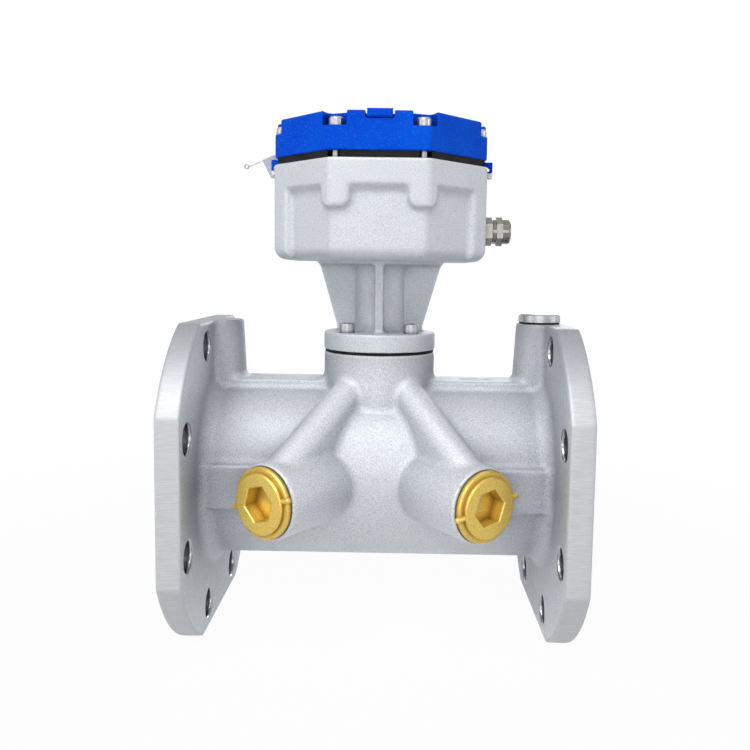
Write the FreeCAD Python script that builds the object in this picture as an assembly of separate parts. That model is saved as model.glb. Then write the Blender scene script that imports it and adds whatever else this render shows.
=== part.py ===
import FreeCAD, Part

import math
import os

from FreeCAD import Placement, Rotation, Vector

# Ultrasonic water meter with flanged body, stem and octagonal register housing.
# Frame: X along the pipe, Y away from the front, Z up, origin under the middle of the body on
# the plane of the flanges' bottom flats. Millimetres.

# Flanged body
FACE_TO_FACE = 250.0
FLANGE_DIAMETER = 220.0
FLANGE_ACROSS_FLATS = 197.0
FLANGE_THICKNESS = 15.0
FLANGE_CHAMFER = 1.0
RAISED_FACE_DIAMETER = 158.0
RAISED_FACE_HEIGHT = 3.0
BOLT_EDGE = 20.0
BOLT_COUNT = 8
BOLT_HOLE = 18.0
BORE = 100.0
PIPE_WALL = 7.0
HUB_FILLET = 9.0

# Posts, crown strips and side pads of the casting
POST_DIAMETER = 30.0
POST_DRAFT = 2.5
POST_INSET = 1.0
STRIP_WIDTH = 30.0
STRIP_HEIGHT = 3.5
STRIP_EDGE = 2.0
PAD_HEIGHT = 28.0
PAD_PROUD = 2.5
ARROW_LENGTH = 22.0
ARROW_WIDTH = 11.0
ARROW_HEAD = 7.7
ARROW_SHAFT = 3.6
ARROW_HEIGHT = 0.8

# Neck, its cable chamber and the screws of the stem
NECK_DIAMETER = 73.0
NECK_RISE = 22.0
NECK_CHAMBER = 48.0
NECK_FLOOR = 5.0
STEM_SCREW_CIRCLE = 58.0
STEM_SCREW_COUNT = 4
STEM_SCREW = 6.0
STEM_SCREW_HEAD = 10.0
STEM_SCREW_HEAD_HEIGHT = 6.0
STEM_SCREW_KEY = 5.0
STEM_SCREW_ROUND = 0.6
STEM_SCREW_GRIP = 12.0
NECK_GASKET = 1.6
NECK_GASKET_INSET = 0.5
TAPPING_SPARE = 2.0
SCREW_CLEARANCE = 0.3

# Crossed sound paths: bosses, conduits and what they hold
PATH_ANGLE = 35.2
BOSS_REACH = 107.4
BOSS_WALL = 4.5
CHAMBER_DIAMETER = 36.0
CHAMBER_DEPTH = 27.0
POCKET_DIAMETER = 26.0
CONDUIT_DIAMETER = 21.0
CONDUIT_TOP = (20.0, 61.3)
CONDUIT_SETBACK = 7.4
CONDUIT_LIFT = 11.0
LEAD_HOLE = 7.0
LEAD_HOLE_TOP = (20.0, 62.2)
LEAD_HOLE_SETBACK = 11.4
LEAD_HOLE_LIFT = 15.8
LEAD_DIAMETER = 3.0

# Transducer, its ring, nut and plug
NOSE_CLEARANCE = 0.2
NOSE_LENGTH = 9.5
NOSE_CHAMFER = 1.0
COLLAR_THICKNESS = 5.0
COLLAR_CLEARANCE = 0.3
BACK_CAP_DIAMETER = 20.0
BACK_CAP_HEIGHT = 6.0
RING_GROOVE = 2.0
RING_WIDTH = 2.4
RING_CLEARANCE = 0.05
NUT_THICKNESS = 4.0
NUT_HOLE = 24.0
NUT_SLOT_WIDTH = 2.0
NUT_SLOT_DEPTH = 2.0
THREAD_CLEARANCE = 0.1
PLUG_RIM_WIDTH = 2.8
PLUG_RIM_THICKNESS = 2.4
PLUG_STEP = 3.1
PLUG_FACE_HEIGHT = 2.4
PLUG_THREAD_LENGTH = 9.0
PLUG_SOCKET = 19.0
PLUG_SOCKET_DEPTH = 9.0
PLUG_SOCKET_EDGE = 0.6
PLUG_PEG = 3.6
PLUG_PEG_REACH = 2.6
PLUG_EDGE = 0.8
PLUG_LEAD_IN = 1.0
WASHER_THICKNESS = 1.0
WASHER_PROUD = 0.3

# Port in the right post
PORT_PLUG_DIAMETER = 27.4
PORT_PLUG_HEIGHT = 5.4
PORT_PLUG_CROWN = 1.2
PORT_PLUG_EDGE = 1.0
PORT_PLUG_FOOT_GAP = 4.0
PORT_THREAD = 20.0
PORT_DEPTH = 18.0
PORT_SEAL = 1.2
PORT_SEAL_INSET = 0.5

# Stem under the housing
STEM_DISC_DIAMETER = 73.6
STEM_DISC_THICKNESS = 11.5
STEM_DISC_EDGE = 1.0
STEM_LENGTH = 46.0
STEM_CORE = 33.0
STEM_BORE = 18.0
GUSSET_THICKNESS = 5.0
GUSSET_TOP = 80.0
GUSSET_FOOT = 54.5
STEM_PAD_THICKNESS = 2.0
STEM_PAD_MARGIN = 1.0

# Octagonal housing base
HOUSING_ACROSS_FLATS = 132.0
HOUSING_FACE = 59.0
HOUSING_HEIGHT = 58.5
HOUSING_EDGE = 4.0
HOUSING_BOTTOM_EDGE = 7.5
RIM_BAND = 14.6
RIM_BAND_SLOPE = 4.0
PANEL_RECESS = 4.0
SIDE_COLUMN = 12.0
SIDE_COLUMN_EDGE = 3.0
SCREW_BOSS_WIDTH = 17.0
SCREW_BOSS_DROP = 28.5
SCREW_BOSS_CORNER = 6.0
SCREW_BOSS_EDGE = 2.5
HOUSING_WALL = 9.0
HOUSING_FLOOR = 4.0
PILLAR_DIAMETER = 9.0
PILLAR_SPREAD = 38.0
PILLAR_TOP = 33.5
SCREW_SLEEVE = 12.0

# Gasket, top cover and its screws
GASKET_THICKNESS = 4.0
GASKET_INSET = 1.5
GASKET_BAND = 8.5
GASKET_NOTCH = 7.2
COVER_HEIGHT = 22.5
COVER_INSET = 0.5
COVER_EDGE = 3.0
COVER_TOP_EDGE = 1.2
COVER_WALL = 9.5
COVER_DECK = 7.8
LID_RECESS_DEPTH = 4.7
LID_RECESS_MARGIN = 13.5
COVER_SCREW_CIRCLE = 132.0
COVER_SCREW = 5.0
COVER_SCREW_HEAD = 8.6
COVER_SCREW_HEAD_HEIGHT = 5.0
COVER_SCREW_REACH = 20.0
COVER_SCREW_KEY = 4.0
COVER_SCREW_ROUND = 1.6
SCREW_KEY_DEPTH = 1.6
SCREW_NOTCH_WIDTH = 14.6
SCREW_NOTCH_DEPTH = 8.5
SCREW_NOTCH_CORNER = 3.0
SCREW_NOTCH_BACK = 2.0

# Flip cover and hinge
LID_GAP = 1.0
LID_FLOOR_GAP = 0.6
LID_PROUD = 0.8
LID_EDGE = 1.2
TAB_WIDTH = 14.8
TAB_SLOT_GAP = 1.0
TAB_REACH = 1.5
HINGE_SETBACK = 2.5
HINGE_BARREL = 5.0
HINGE_WIDTH = 22.0
HINGE_SIDE_GAP = 0.5
HINGE_BACK_GAP = 1.5
HINGE_BELOW_TOP = 0.3
HINGE_PIN = 2.5
HINGE_PIN_CLEARANCE = 0.05
HINGE_PIN_SEAT = 7.0

# Window and display
WINDOW = (78.0, 42.0)
WINDOW_LEDGE = 4.0
WINDOW_SEAL = 1.0
WINDOW_GLASS = 2.8
WINDOW_CLEARANCE = 0.2
DISPLAY_BOARD = (74.0, 40.0)
DISPLAY_GLASS = (66.0, 33.0)
DISPLAY_GLASS_THICKNESS = 3.4
DISPLAY_DEPTH = 3.0
SPACER_DIAMETER = 5.0
SPACER_MARGIN = 3.5

# Circuit board, battery and radio
BOARD_THICKNESS = 1.6
BOARD_GAP = 3.0
BOARD_SCREW = 3.0
BOARD_SCREW_HEAD = 5.6
BOARD_SCREW_HEAD_HEIGHT = 2.2
BOARD_SCREW_GRIP = 8.0
BOARD_SCREW_KEY = 2.1
BOARD_SCREW_ROUND = 0.4
BOARD_SLEEVE_GAP = 1.0
BATTERY_DIAMETER = 26.2
BATTERY_LENGTH = 50.0
BATTERY_TERMINAL = (6.0, 1.5)
BATTERY_SETBACK = 27.0
BATTERY_EDGE = 1.0
HOLDER_WALL = 1.6
HOLDER_CLEARANCE = 0.3
TERMINAL_BLOCK = (30.0, 10.0, 11.0)
TERMINAL_WAYS = 6
TERMINAL_HOLE = 3.0
TERMINAL_PLACE = (0.0, -34.0)
RADIO_MODULE = (24.0, 17.0, 3.0)
RADIO_PLACE = (-8.0, 30.0)
RADIO_EDGE = 0.8
ANTENNA_DIAMETER = 6.0
ANTENNA_LENGTH = 26.0
ANTENNA_FOOT = 3.0
ANTENNA_PLACE = (0.0, -38.0)

# Cable gland in the right face
GLAND_THREAD = 12.0
GLAND_HEX = 16.0
GLAND_HEX_LENGTH = 5.5
GLAND_DROP = 38.0
GLAND_CAP_DIAMETER = 16.2
GLAND_CAP_LENGTH = 12.3
GLAND_CAP_EDGE = 2.0
GLAND_CAP_LIP = 1.2
GLAND_CAP_GAP = 0.3
GLAND_MOUTH_MARGIN = 1.5
GLAND_CAP_HEX = 16.2
GLAND_CAP_HEX_START = 2.8
GLAND_CAP_HEX_LENGTH = 4.0
GLAND_NECK = 13.4
GLAND_NECK_LENGTH = 7.5
GLAND_INSERT = 9.4
GLAND_INSERT_LENGTH = 10.5
GLAND_INSERT_TAPER = (1.0, 2.0)
GLAND_ENTRY = 5.0
GLAND_CLAW_WALL = 0.8
GLAND_CLAWS = 6
GLAND_CLAW_SLOT = 1.2
GLAND_CLAW_GAP = 0.05
GLAND_O_RING = 1.2
GLAND_O_RING_INSET = 0.25
GLAND_THREAD_PROUD = 1.0
LOCKNUT_HEX = 17.0
LOCKNUT_THICKNESS = 3.5

# Seal eyes, wire and tag
EYE_REACH = 6.2
EYE_WIDTH = 6.0
EYE_TOP = 2.5
EYE_DROP = 4.2
EYE_HOLE = 2.8
EYE_GAP = 0.3
LUG_HEIGHT = 4.0
LUG_HOLE = 1.8
LUG_ROOT = 1.0
SEAL_WIRE = 1.0
SEAL_LOOP_END = 3.0
TAG_THICKNESS = 2.0
TAG_GAP = 0.5
TAG_WIRE_GAP = 0.1
TAG_REACH = (10.0, 4.5)
TAG_RISE = (10.5, 5.0)
TAG_FALL = 3.2
TAG_TOE = 1.0
TAIL_REACH = 9.5
TAIL_FALL = 3.8
TAIL_WIRE = 0.7
TAIL_LOOP = 2.6

# Levels and radii that follow
AXIS_Z = FLANGE_ACROSS_FLATS / 2
BOLT_CIRCLE_DIAMETER = FLANGE_DIAMETER - 2 * BOLT_EDGE
PIPE_R = BORE / 2 + PIPE_WALL
FACE_X = FACE_TO_FACE / 2
RIM_X = FACE_X - RAISED_FACE_HEIGHT
INNER_X = RIM_X - FLANGE_THICKNESS
POST_X = INNER_X - POST_INSET
POST_TOP = FLANGE_ACROSS_FLATS
CROWN_Z = AXIS_Z + PIPE_R
STRIP_TOP = CROWN_Z + STRIP_HEIGHT
NECK_TOP = CROWN_Z + NECK_RISE
NECK_R = NECK_DIAMETER / 2
STEM_Z = NECK_TOP + NECK_GASKET
DISC_TOP = STEM_Z + STEM_DISC_THICKNESS
HOUSING_Z = DISC_TOP + STEM_LENGTH
FLOOR_Z = HOUSING_Z + HOUSING_FLOOR
RIM_Z = HOUSING_Z + HOUSING_HEIGHT
COVER_Z = RIM_Z + GASKET_THICKNESS
COVER_TOP = COVER_Z + COVER_HEIGHT
RECESS_Z = COVER_TOP - LID_RECESS_DEPTH
DECK_Z = RECESS_Z - COVER_DECK
NOTCH_Z = COVER_TOP - SCREW_NOTCH_DEPTH
BOARD_Z = FLOOR_Z - HOUSING_FLOOR + PILLAR_TOP
BOARD_TOP = BOARD_Z + BOARD_THICKNESS
HOUSING_A = HOUSING_ACROSS_FLATS / 2
HOUSING_C = HOUSING_A + HOUSING_FACE / 2
SHOULDER = BOSS_REACH - CHAMBER_DEPTH
COLLAR_TOP = SHOULDER + COLLAR_THICKNESS
NUT_TOP = COLLAR_TOP + NUT_THICKNESS
RIM_START = BOSS_REACH + WASHER_THICKNESS
RIM_END = RIM_START + PLUG_RIM_THICKNESS
PLUG_END = RIM_END + PLUG_FACE_HEIGHT
GLAND_Z = RIM_Z - GLAND_DROP
GLAND_NECK_X = HOUSING_A + GLAND_O_RING + GLAND_HEX_LENGTH
CLAW_END = GLAND_CAP_LENGTH - GLAND_CAP_LIP - GLAND_CAP_GAP
BOSS_DIAMETER = CHAMBER_DIAMETER + 2 * BOSS_WALL
CONDUIT_END = (BOSS_REACH - CONDUIT_SETBACK, CONDUIT_LIFT)
LEAD_HOLE_END = (BOSS_REACH - LEAD_HOLE_SETBACK, LEAD_HOLE_LIFT)
PLUG_RIM = CHAMBER_DIAMETER + 2 * PLUG_RIM_WIDTH
PLUG_FACE = PLUG_RIM - 2 * PLUG_STEP
HINGE_Y = HOUSING_A - LID_RECESS_MARGIN + HINGE_SETBACK
HINGE_Z = COVER_TOP + LID_PROUD - HINGE_BARREL / 2 - HINGE_BELOW_TOP
LID_Z = RECESS_Z + LID_FLOOR_GAP
LID_TOP = COVER_TOP + LID_PROUD
DISPLAY_TOP = DECK_Z - DISPLAY_DEPTH
DISPLAY_Z = DISPLAY_TOP - DISPLAY_GLASS_THICKNESS
SPACER_TOP = DISPLAY_Z - BOARD_THICKNESS
BATTERY_Z = FLOOR_Z + HOLDER_WALL + HOLDER_CLEARANCE + BATTERY_DIAMETER / 2
EYE_X = -(HOUSING_A + EYE_REACH / 2)
WIRE_TOP = COVER_Z - EYE_DROP / 2
WIRE_LOW = RIM_Z - LUG_HEIGHT / 2

UP = Vector(0, 0, 1)
ALONG = Vector(1, 0, 0)
BACK = Vector(0, 1, 0)
NEAR = 1e-4
CORNERS = {"front_left": (-1, -1), "front_right": (1, -1), "back_left": (-1, 1), "back_right": (1, 1)}
PLUG_TURN = {"front_left": 15.0, "front_right": 10.0, "back_left": -10.0, "back_right": -15.0}


def cylinder(diameter, height, base, axis=UP):
    return Part.makeCylinder(diameter / 2, height, Vector(*base), axis)


def block(x0, x1, y0, y1, z0, z1):
    return Part.makeBox(x1 - x0, y1 - y0, z1 - z0, Vector(x0, y0, z0))


def plate(points, height):
    """Straight extrusion of a closed outline given as 3-D points."""
    wire = Part.makePolygon([Vector(*point) for point in points + points[:1]])
    return Part.Face(wire).extrude(height)


def turned(points, axis=UP):
    """Solid of revolution about the Z axis from an outline of (radius, height) points."""
    wire = Part.makePolygon([Vector(r, 0, z) for r, z in points + points[:1]])
    return Part.Face(wire).revolve(Vector(0, 0, 0), axis, 360)


def prism(across_flats, height, base, axis=UP, start=0.0):
    """Hexagonal bar; start turns its corners about its axis."""
    radius = across_flats / math.sqrt(3)
    angles = [math.radians(60 * i + start) for i in range(6)]
    shape = plate([(radius * math.cos(a), radius * math.sin(a), 0) for a in angles], UP * height)
    shape.Placement = Placement(Vector(*base), Rotation(UP, axis))
    return shape


def octagon(inset, z0, z1, edge=0.0):
    """Upright eight-sided block, the housing's outline moved in by inset, corners rounded by edge."""
    a = HOUSING_A - inset
    s = HOUSING_C - inset * math.sqrt(2) - a
    outline = [(-s, -a), (s, -a), (a, -s), (a, s), (s, a), (-s, a), (-a, s), (-a, -s)]
    solid = plate([(x, y, z0) for x, y in outline], UP * (z1 - z0))
    if edge > 0:
        solid = solid.makeFillet(edge, upright_edges(solid))
    return solid


def edges_at(solid, z):
    """Edges that lie wholly in the level plane z."""
    return [e for e in solid.Edges if max(abs(e.BoundBox.ZMin - z), abs(e.BoundBox.ZMax - z)) < NEAR]


def upright_edges(solid):
    """Straight edges that run along Z."""
    boxes = [(e, e.BoundBox) for e in solid.Edges]
    return [e for e, b in boxes if b.ZLength > NEAR and max(b.XLength, b.YLength) < NEAR]


def fused(shapes):
    return shapes[0].fuse(shapes[1:]).removeSplitter()


def ring(outer, inner, z0, z1):
    return cylinder(outer, z1 - z0, (0, 0, z0)).cut(cylinder(inner, z1 - z0, (0, 0, z0)))


def on_path(shape, corner):
    """Move a piece made about +Z from the origin onto the sound path of one corner."""
    side, depth = CORNERS[corner]
    angle = math.radians(PATH_ANGLE)
    outward = Vector(side * math.sin(angle), depth * math.cos(angle), 0)
    moved = shape.copy()
    place = Placement(Vector(0, 0, AXIS_Z), Rotation(UP.cross(outward), UP, outward, "ZYX"))
    moved.Placement = place.multiply(shape.Placement)
    return moved


def path_point(corner, reach, height):
    side, depth = CORNERS[corner]
    angle = math.radians(PATH_ANGLE)
    return Vector(side * reach * math.sin(angle), depth * reach * math.cos(angle), AXIS_Z + height)


def cover_screw_places():
    radius = COVER_SCREW_CIRCLE / 2
    angles = [math.radians(22.5 + 45 * i) for i in range(8)]
    return [(radius * math.cos(a), radius * math.sin(a)) for a in angles]


def stem_screw_places():
    angles = [math.radians(360 * (i + 0.5) / STEM_SCREW_COUNT) for i in range(STEM_SCREW_COUNT)]
    return [(STEM_SCREW_CIRCLE / 2 * math.cos(a), STEM_SCREW_CIRCLE / 2 * math.sin(a)) for a in angles]


def pillar_places():
    return [(sx * PILLAR_SPREAD, sy * PILLAR_SPREAD) for sx in (-1, 1) for sy in (-1, 1)]


# Meter body

def pipe_with_hubs():
    """Pipe whose ends sweep out into the flanges, turned about the pipe axis."""
    bend = HUB_FILLET * (1 - math.sqrt(0.5))
    r0, r1 = PIPE_R, PIPE_R + HUB_FILLET
    x0, x1 = INNER_X - HUB_FILLET, INNER_X
    left = Part.Arc(Vector(-x1, 0, r1), Vector(-x1 + bend, 0, r0 + bend), Vector(-x0, 0, r0)).toShape()
    top = Part.makeLine(Vector(-x0, 0, r0), Vector(x0, 0, r0))
    right = Part.Arc(Vector(x0, 0, r0), Vector(x1 - bend, 0, r0 + bend), Vector(x1, 0, r1)).toShape()
    rest = Part.makePolygon([Vector(x1, 0, r1), Vector(x1, 0, 0), Vector(-x1, 0, 0), Vector(-x1, 0, r1)])
    wire = Part.Wire([left, top, right] + rest.Edges)
    return Part.Face(wire).revolve(Vector(0, 0, 0), ALONG, 360).translated(Vector(0, 0, AXIS_Z))


def flange(side):
    """Disc with four flats, chamfered all round its rim, with the raised face on its outside."""
    start = INNER_X if side > 0 else -RIM_X
    disc = cylinder(FLANGE_DIAMETER, FLANGE_THICKNESS, (start, 0, AXIS_Z), ALONG)
    half = FLANGE_ACROSS_FLATS / 2
    flats = block(start, start + FLANGE_THICKNESS, -half, half, AXIS_Z - half, AXIS_Z + half)
    shapes = []
    for shape in (disc, flats):
        rims = [e for e in shape.Edges if e.BoundBox.XLength < NEAR]
        shapes.append(shape.makeChamfer(FLANGE_CHAMFER, rims))
    face_start = RIM_X if side > 0 else -FACE_X
    face = cylinder(RAISED_FACE_DIAMETER, RAISED_FACE_HEIGHT, (face_start, 0, AXIS_Z), ALONG)
    return shapes[0].common(shapes[1]).fuse(face)


def post(side):
    foot = POST_DIAMETER / 2 + POST_DRAFT
    return Part.makeCone(foot, POST_DIAMETER / 2, POST_TOP - CROWN_Z + PIPE_WALL,
                         Vector(side * POST_X, 0, CROWN_Z - PIPE_WALL))


def crown_strip(side):
    """Flat strip along the crown from the neck to the flange."""
    x0, x1 = sorted((0.0, side * INNER_X))
    bar = block(x0, x1, -STRIP_WIDTH / 2, STRIP_WIDTH / 2, AXIS_Z, STRIP_TOP)
    return bar.makeFillet(STRIP_EDGE, [e for e in edges_at(bar, STRIP_TOP) if e.BoundBox.XLength > 1])


def flow_arrow(side):
    """Raised arrow on a crown strip that points with the flow, towards +X."""
    middle = side * (INNER_X - POST_DIAMETER / 2 + NECK_R) / 2
    tail, tip = middle - ARROW_LENGTH / 2, middle + ARROW_LENGTH / 2
    barb = tip - ARROW_HEAD
    shaft = ARROW_SHAFT / 2
    z = STRIP_TOP
    outline = [(tail, -shaft, z), (barb, -shaft, z), (barb, -ARROW_WIDTH / 2, z), (tip, 0, z),
               (barb, ARROW_WIDTH / 2, z), (barb, shaft, z), (tail, shaft, z)]
    return plate(outline, UP * ARROW_HEIGHT)


def side_pad(side, depth):
    """Flat rectangular pad on the pipe between flange and boss."""
    face = depth * (PIPE_R + PAD_PROUD)
    y0, y1 = sorted((0.0, face))
    x0, x1 = sorted((side * BOSS_REACH * math.sin(math.radians(PATH_ANGLE)), side * INNER_X))
    pad = block(x0, x1, y0, y1, AXIS_Z - PAD_HEIGHT / 2, AXIS_Z + PAD_HEIGHT / 2)
    front = [e for e in pad.Edges if e.BoundBox.XLength > 1 and abs(e.BoundBox.YMin - face) < NEAR]
    return pad.makeFillet(STRIP_EDGE, front)


def between(corner, start, end, diameter):
    """Round bar between two (reach, height) points on one corner's upright plane."""
    a = path_point(corner, *start)
    b = path_point(corner, *end)
    return Part.makeCylinder(diameter / 2, (b - a).Length, a, b - a)


def boss_and_conduit(corner):
    """Boss for one transducer and the round-topped rib that carries its cable up to the neck."""
    boss = on_path(cylinder(BOSS_DIAMETER, BOSS_REACH, (0, 0, 0)), corner)
    ridge = between(corner, CONDUIT_TOP, CONDUIT_END, CONDUIT_DIAMETER)
    across = path_point(corner, 1, 0) - Vector(0, 0, AXIS_Z)
    across = across.cross(UP) * CONDUIT_DIAMETER
    start = across * -0.5
    outline = [CONDUIT_TOP, CONDUIT_END, (CONDUIT_END[0], 0.0), (CONDUIT_TOP[0], 0.0)]
    web = plate([tuple(path_point(corner, *point) + start) for point in outline], across)
    return [boss, ridge, web]


def body_cuts():
    cuts = [cylinder(BORE, FACE_TO_FACE, (-FACE_X, 0, AXIS_Z), ALONG)]
    drilled = FACE_X - INNER_X + HUB_FILLET
    for i in range(BOLT_COUNT):
        angle = math.radians(360 * (i + 0.5) / BOLT_COUNT)
        y = BOLT_CIRCLE_DIAMETER / 2 * math.cos(angle)
        z = AXIS_Z + BOLT_CIRCLE_DIAMETER / 2 * math.sin(angle)
        cuts += [cylinder(BOLT_HOLE, drilled, (x, y, z), ALONG) for x in (-FACE_X, FACE_X - drilled)]
    chamber_floor = AXIS_Z + BORE / 2 + NECK_FLOOR
    cuts.append(cylinder(NECK_CHAMBER, NECK_TOP - chamber_floor, (0, 0, chamber_floor)))
    for x, y in stem_screw_places():
        depth = STEM_SCREW_GRIP + TAPPING_SPARE
        cuts.append(cylinder(STEM_SCREW + 2 * THREAD_CLEARANCE, depth, (x, y, NECK_TOP - depth)))
    cuts.append(cylinder(PORT_THREAD, PORT_DEPTH, (POST_X, 0, POST_TOP - PORT_DEPTH)))
    for corner in CORNERS:
        cuts.append(on_path(cylinder(CHAMBER_DIAMETER, CHAMBER_DEPTH, (0, 0, SHOULDER)), corner))
        cuts.append(on_path(cylinder(POCKET_DIAMETER, SHOULDER - BORE / 4, (0, 0, BORE / 4)), corner))
        cuts.append(between(corner, LEAD_HOLE_TOP, LEAD_HOLE_END, LEAD_HOLE))
    return cuts


def meter_body():
    pieces = [pipe_with_hubs(), flange(-1), flange(1), post(-1), post(1), crown_strip(-1), crown_strip(1)]
    pieces += [side_pad(side, depth) for side in (-1, 1) for depth in (-1, 1)]
    pieces.append(cylinder(NECK_DIAMETER, NECK_TOP - AXIS_Z, (0, 0, AXIS_Z)))
    for corner in CORNERS:
        pieces += boss_and_conduit(corner)
    body = fused(pieces)
    body = fused([body, flow_arrow(-1), flow_arrow(1)])
    return body.cut(body_cuts())


# Transducers and plugs, made about +Z with the height along the sound path

def transducer():
    nose = POCKET_DIAMETER / 2 - NOSE_CLEARANCE
    collar = CHAMBER_DIAMETER / 2 - COLLAR_CLEARANCE
    cap = BACK_CAP_DIAMETER / 2
    tip = SHOULDER - NOSE_LENGTH
    groove = tip + (NOSE_LENGTH - RING_WIDTH) / 2
    groove_end = groove + RING_WIDTH
    floor = nose - RING_GROOVE
    back = COLLAR_TOP + BACK_CAP_HEIGHT
    return turned([(0, tip), (nose - NOSE_CHAMFER, tip), (nose, tip + NOSE_CHAMFER), (nose, groove),
                   (floor, groove), (floor, groove_end), (nose, groove_end), (nose, SHOULDER),
                   (collar, SHOULDER), (collar, COLLAR_TOP), (cap, COLLAR_TOP), (cap, back), (0, back)])


def transducer_ring():
    outer = POCKET_DIAMETER
    inner = POCKET_DIAMETER - 2 * (NOSE_CLEARANCE + RING_GROOVE - RING_CLEARANCE)
    start = SHOULDER - (NOSE_LENGTH + RING_WIDTH) / 2
    return ring(outer, inner, start + RING_CLEARANCE, start + RING_WIDTH - RING_CLEARANCE)


def retaining_nut():
    nut = ring(CHAMBER_DIAMETER - 2 * THREAD_CLEARANCE, NUT_HOLE, COLLAR_TOP, NUT_TOP)
    half = NUT_SLOT_WIDTH / 2
    slot = block(-CHAMBER_DIAMETER, CHAMBER_DIAMETER, -half, half, NUT_TOP - NUT_SLOT_DEPTH, NUT_TOP)
    return nut.cut(slot)


def washer():
    return ring(PLUG_RIM + 2 * WASHER_PROUD, CHAMBER_DIAMETER, BOSS_REACH, RIM_START)


def plug(turn):
    thread = CHAMBER_DIAMETER / 2 - THREAD_CLEARANCE
    rim = PLUG_RIM / 2
    face = PLUG_FACE / 2
    start = BOSS_REACH - PLUG_THREAD_LENGTH
    body = turned([(0, start), (thread - PLUG_LEAD_IN, start), (thread, start + PLUG_LEAD_IN),
                   (thread, RIM_START), (rim, RIM_START), (rim, RIM_END - PLUG_EDGE),
                   (rim - PLUG_EDGE, RIM_END), (face, RIM_END), (face, PLUG_END - PLUG_EDGE),
                   (face - PLUG_EDGE, PLUG_END), (0, PLUG_END)])
    pegs = []
    for side in (-1, 1):
        root = Vector(side * (face - PLUG_EDGE), 0, RIM_END)
        length = rim + PLUG_PEG_REACH - face + PLUG_EDGE
        pegs.append(Part.makeCylinder(PLUG_PEG / 2, length - PLUG_PEG / 2, root, ALONG * side))
        pegs.append(Part.makeSphere(PLUG_PEG / 2, root + ALONG * side * (length - PLUG_PEG / 2)))
    keep = ring(2 * (rim + PLUG_PEG_REACH + PLUG_PEG), PLUG_FACE - PLUG_PEG, RIM_START, PLUG_END)
    body = fused([body] + [peg.common(keep) for peg in pegs])
    body = body.cut(prism(PLUG_SOCKET, PLUG_SOCKET_DEPTH, (0, 0, PLUG_END - PLUG_SOCKET_DEPTH)))
    mouth = [e for e in edges_at(body, PLUG_END) if len(e.Vertexes) == 2]
    body = body.makeChamfer(PLUG_SOCKET_EDGE, mouth)
    body.rotate(Vector(0, 0, 0), UP, turn)
    return body


def lead(corner):
    """Cable from the transducer's back cap along the conduit into the neck and up the stem."""
    start = (COLLAR_TOP + BACK_CAP_HEIGHT + LEAD_DIAMETER / 2, 0.0)
    top = STEM_BORE / 2 - LEAD_DIAMETER
    slope = (LEAD_HOLE_TOP[1] - LEAD_HOLE_END[1]) / (LEAD_HOLE_END[0] - LEAD_HOLE_TOP[0])
    foot = (start[0], LEAD_HOLE_END[1] + slope * (LEAD_HOLE_END[0] - start[0]))
    head = (top, LEAD_HOLE_TOP[1] + slope * (LEAD_HOLE_TOP[0] - top))
    exit_height = FLOOR_Z + HOUSING_FLOOR - AXIS_Z
    runs = [((start[0], 0.0), foot), (foot, head), (head, (top, exit_height))]
    bars = [between(corner, a, b, LEAD_DIAMETER) for a, b in runs]
    knees = [Part.makeSphere(LEAD_DIAMETER / 2, path_point(corner, *p)) for p in (foot, head)]
    return fused(bars + knees)


# Port plug and neck gasket

def port_plug():
    r = PORT_PLUG_DIAMETER / 2
    thread = PORT_THREAD / 2 - THREAD_CLEARANCE
    z0 = POST_TOP + PORT_SEAL
    z1 = z0 + PORT_PLUG_HEIGHT
    foot = POST_TOP - PORT_DEPTH + PORT_PLUG_FOOT_GAP
    shape = turned([(0, foot), (thread, foot), (thread, z0), (r, z0), (r, z1 - PORT_PLUG_EDGE),
                    (r - PORT_PLUG_EDGE, z1), (0, z1 + PORT_PLUG_CROWN)])
    return shape.translated(Vector(POST_X, 0, 0))


def port_plug_seal():
    outer = PORT_PLUG_DIAMETER - 2 * PORT_SEAL_INSET
    washer_ring = ring(outer, PORT_THREAD, POST_TOP, POST_TOP + PORT_SEAL)
    return washer_ring.translated(Vector(POST_X, 0, 0))


def neck_gasket():
    gasket = ring(NECK_DIAMETER - 2 * NECK_GASKET_INSET, NECK_CHAMBER, NECK_TOP, STEM_Z)
    hole = STEM_SCREW + 2 * SCREW_CLEARANCE
    holes = [cylinder(hole, NECK_GASKET, (x, y, NECK_TOP)) for x, y in stem_screw_places()]
    return gasket.cut(holes)


# Housing base with its stem

def gusset(axis):
    z0, z1 = DISC_TOP, HOUSING_Z - STEM_PAD_THICKNESS
    half = GUSSET_THICKNESS / 2
    foot, top = GUSSET_FOOT / 2, GUSSET_TOP / 2
    outline = [(-foot, -half, z0), (foot, -half, z0), (top, -half, z1), (-top, -half, z1)]
    web = plate(outline, BACK * GUSSET_THICKNESS)
    if axis == "y":
        web.rotate(Vector(0, 0, 0), UP, 90)
    return web


def stem():
    disc = cylinder(STEM_DISC_DIAMETER, STEM_DISC_THICKNESS, (0, 0, STEM_Z))
    disc = disc.makeFillet(STEM_DISC_EDGE, edges_at(disc, DISC_TOP))
    core = cylinder(STEM_CORE, HOUSING_Z - DISC_TOP, (0, 0, DISC_TOP))
    pad_width = GUSSET_TOP + 2 * STEM_PAD_MARGIN
    pad = cylinder(pad_width, STEM_PAD_THICKNESS + HOUSING_FLOOR, (0, 0, HOUSING_Z - STEM_PAD_THICKNESS))
    return [disc, core, gusset("x"), gusset("y"), pad]


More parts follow.
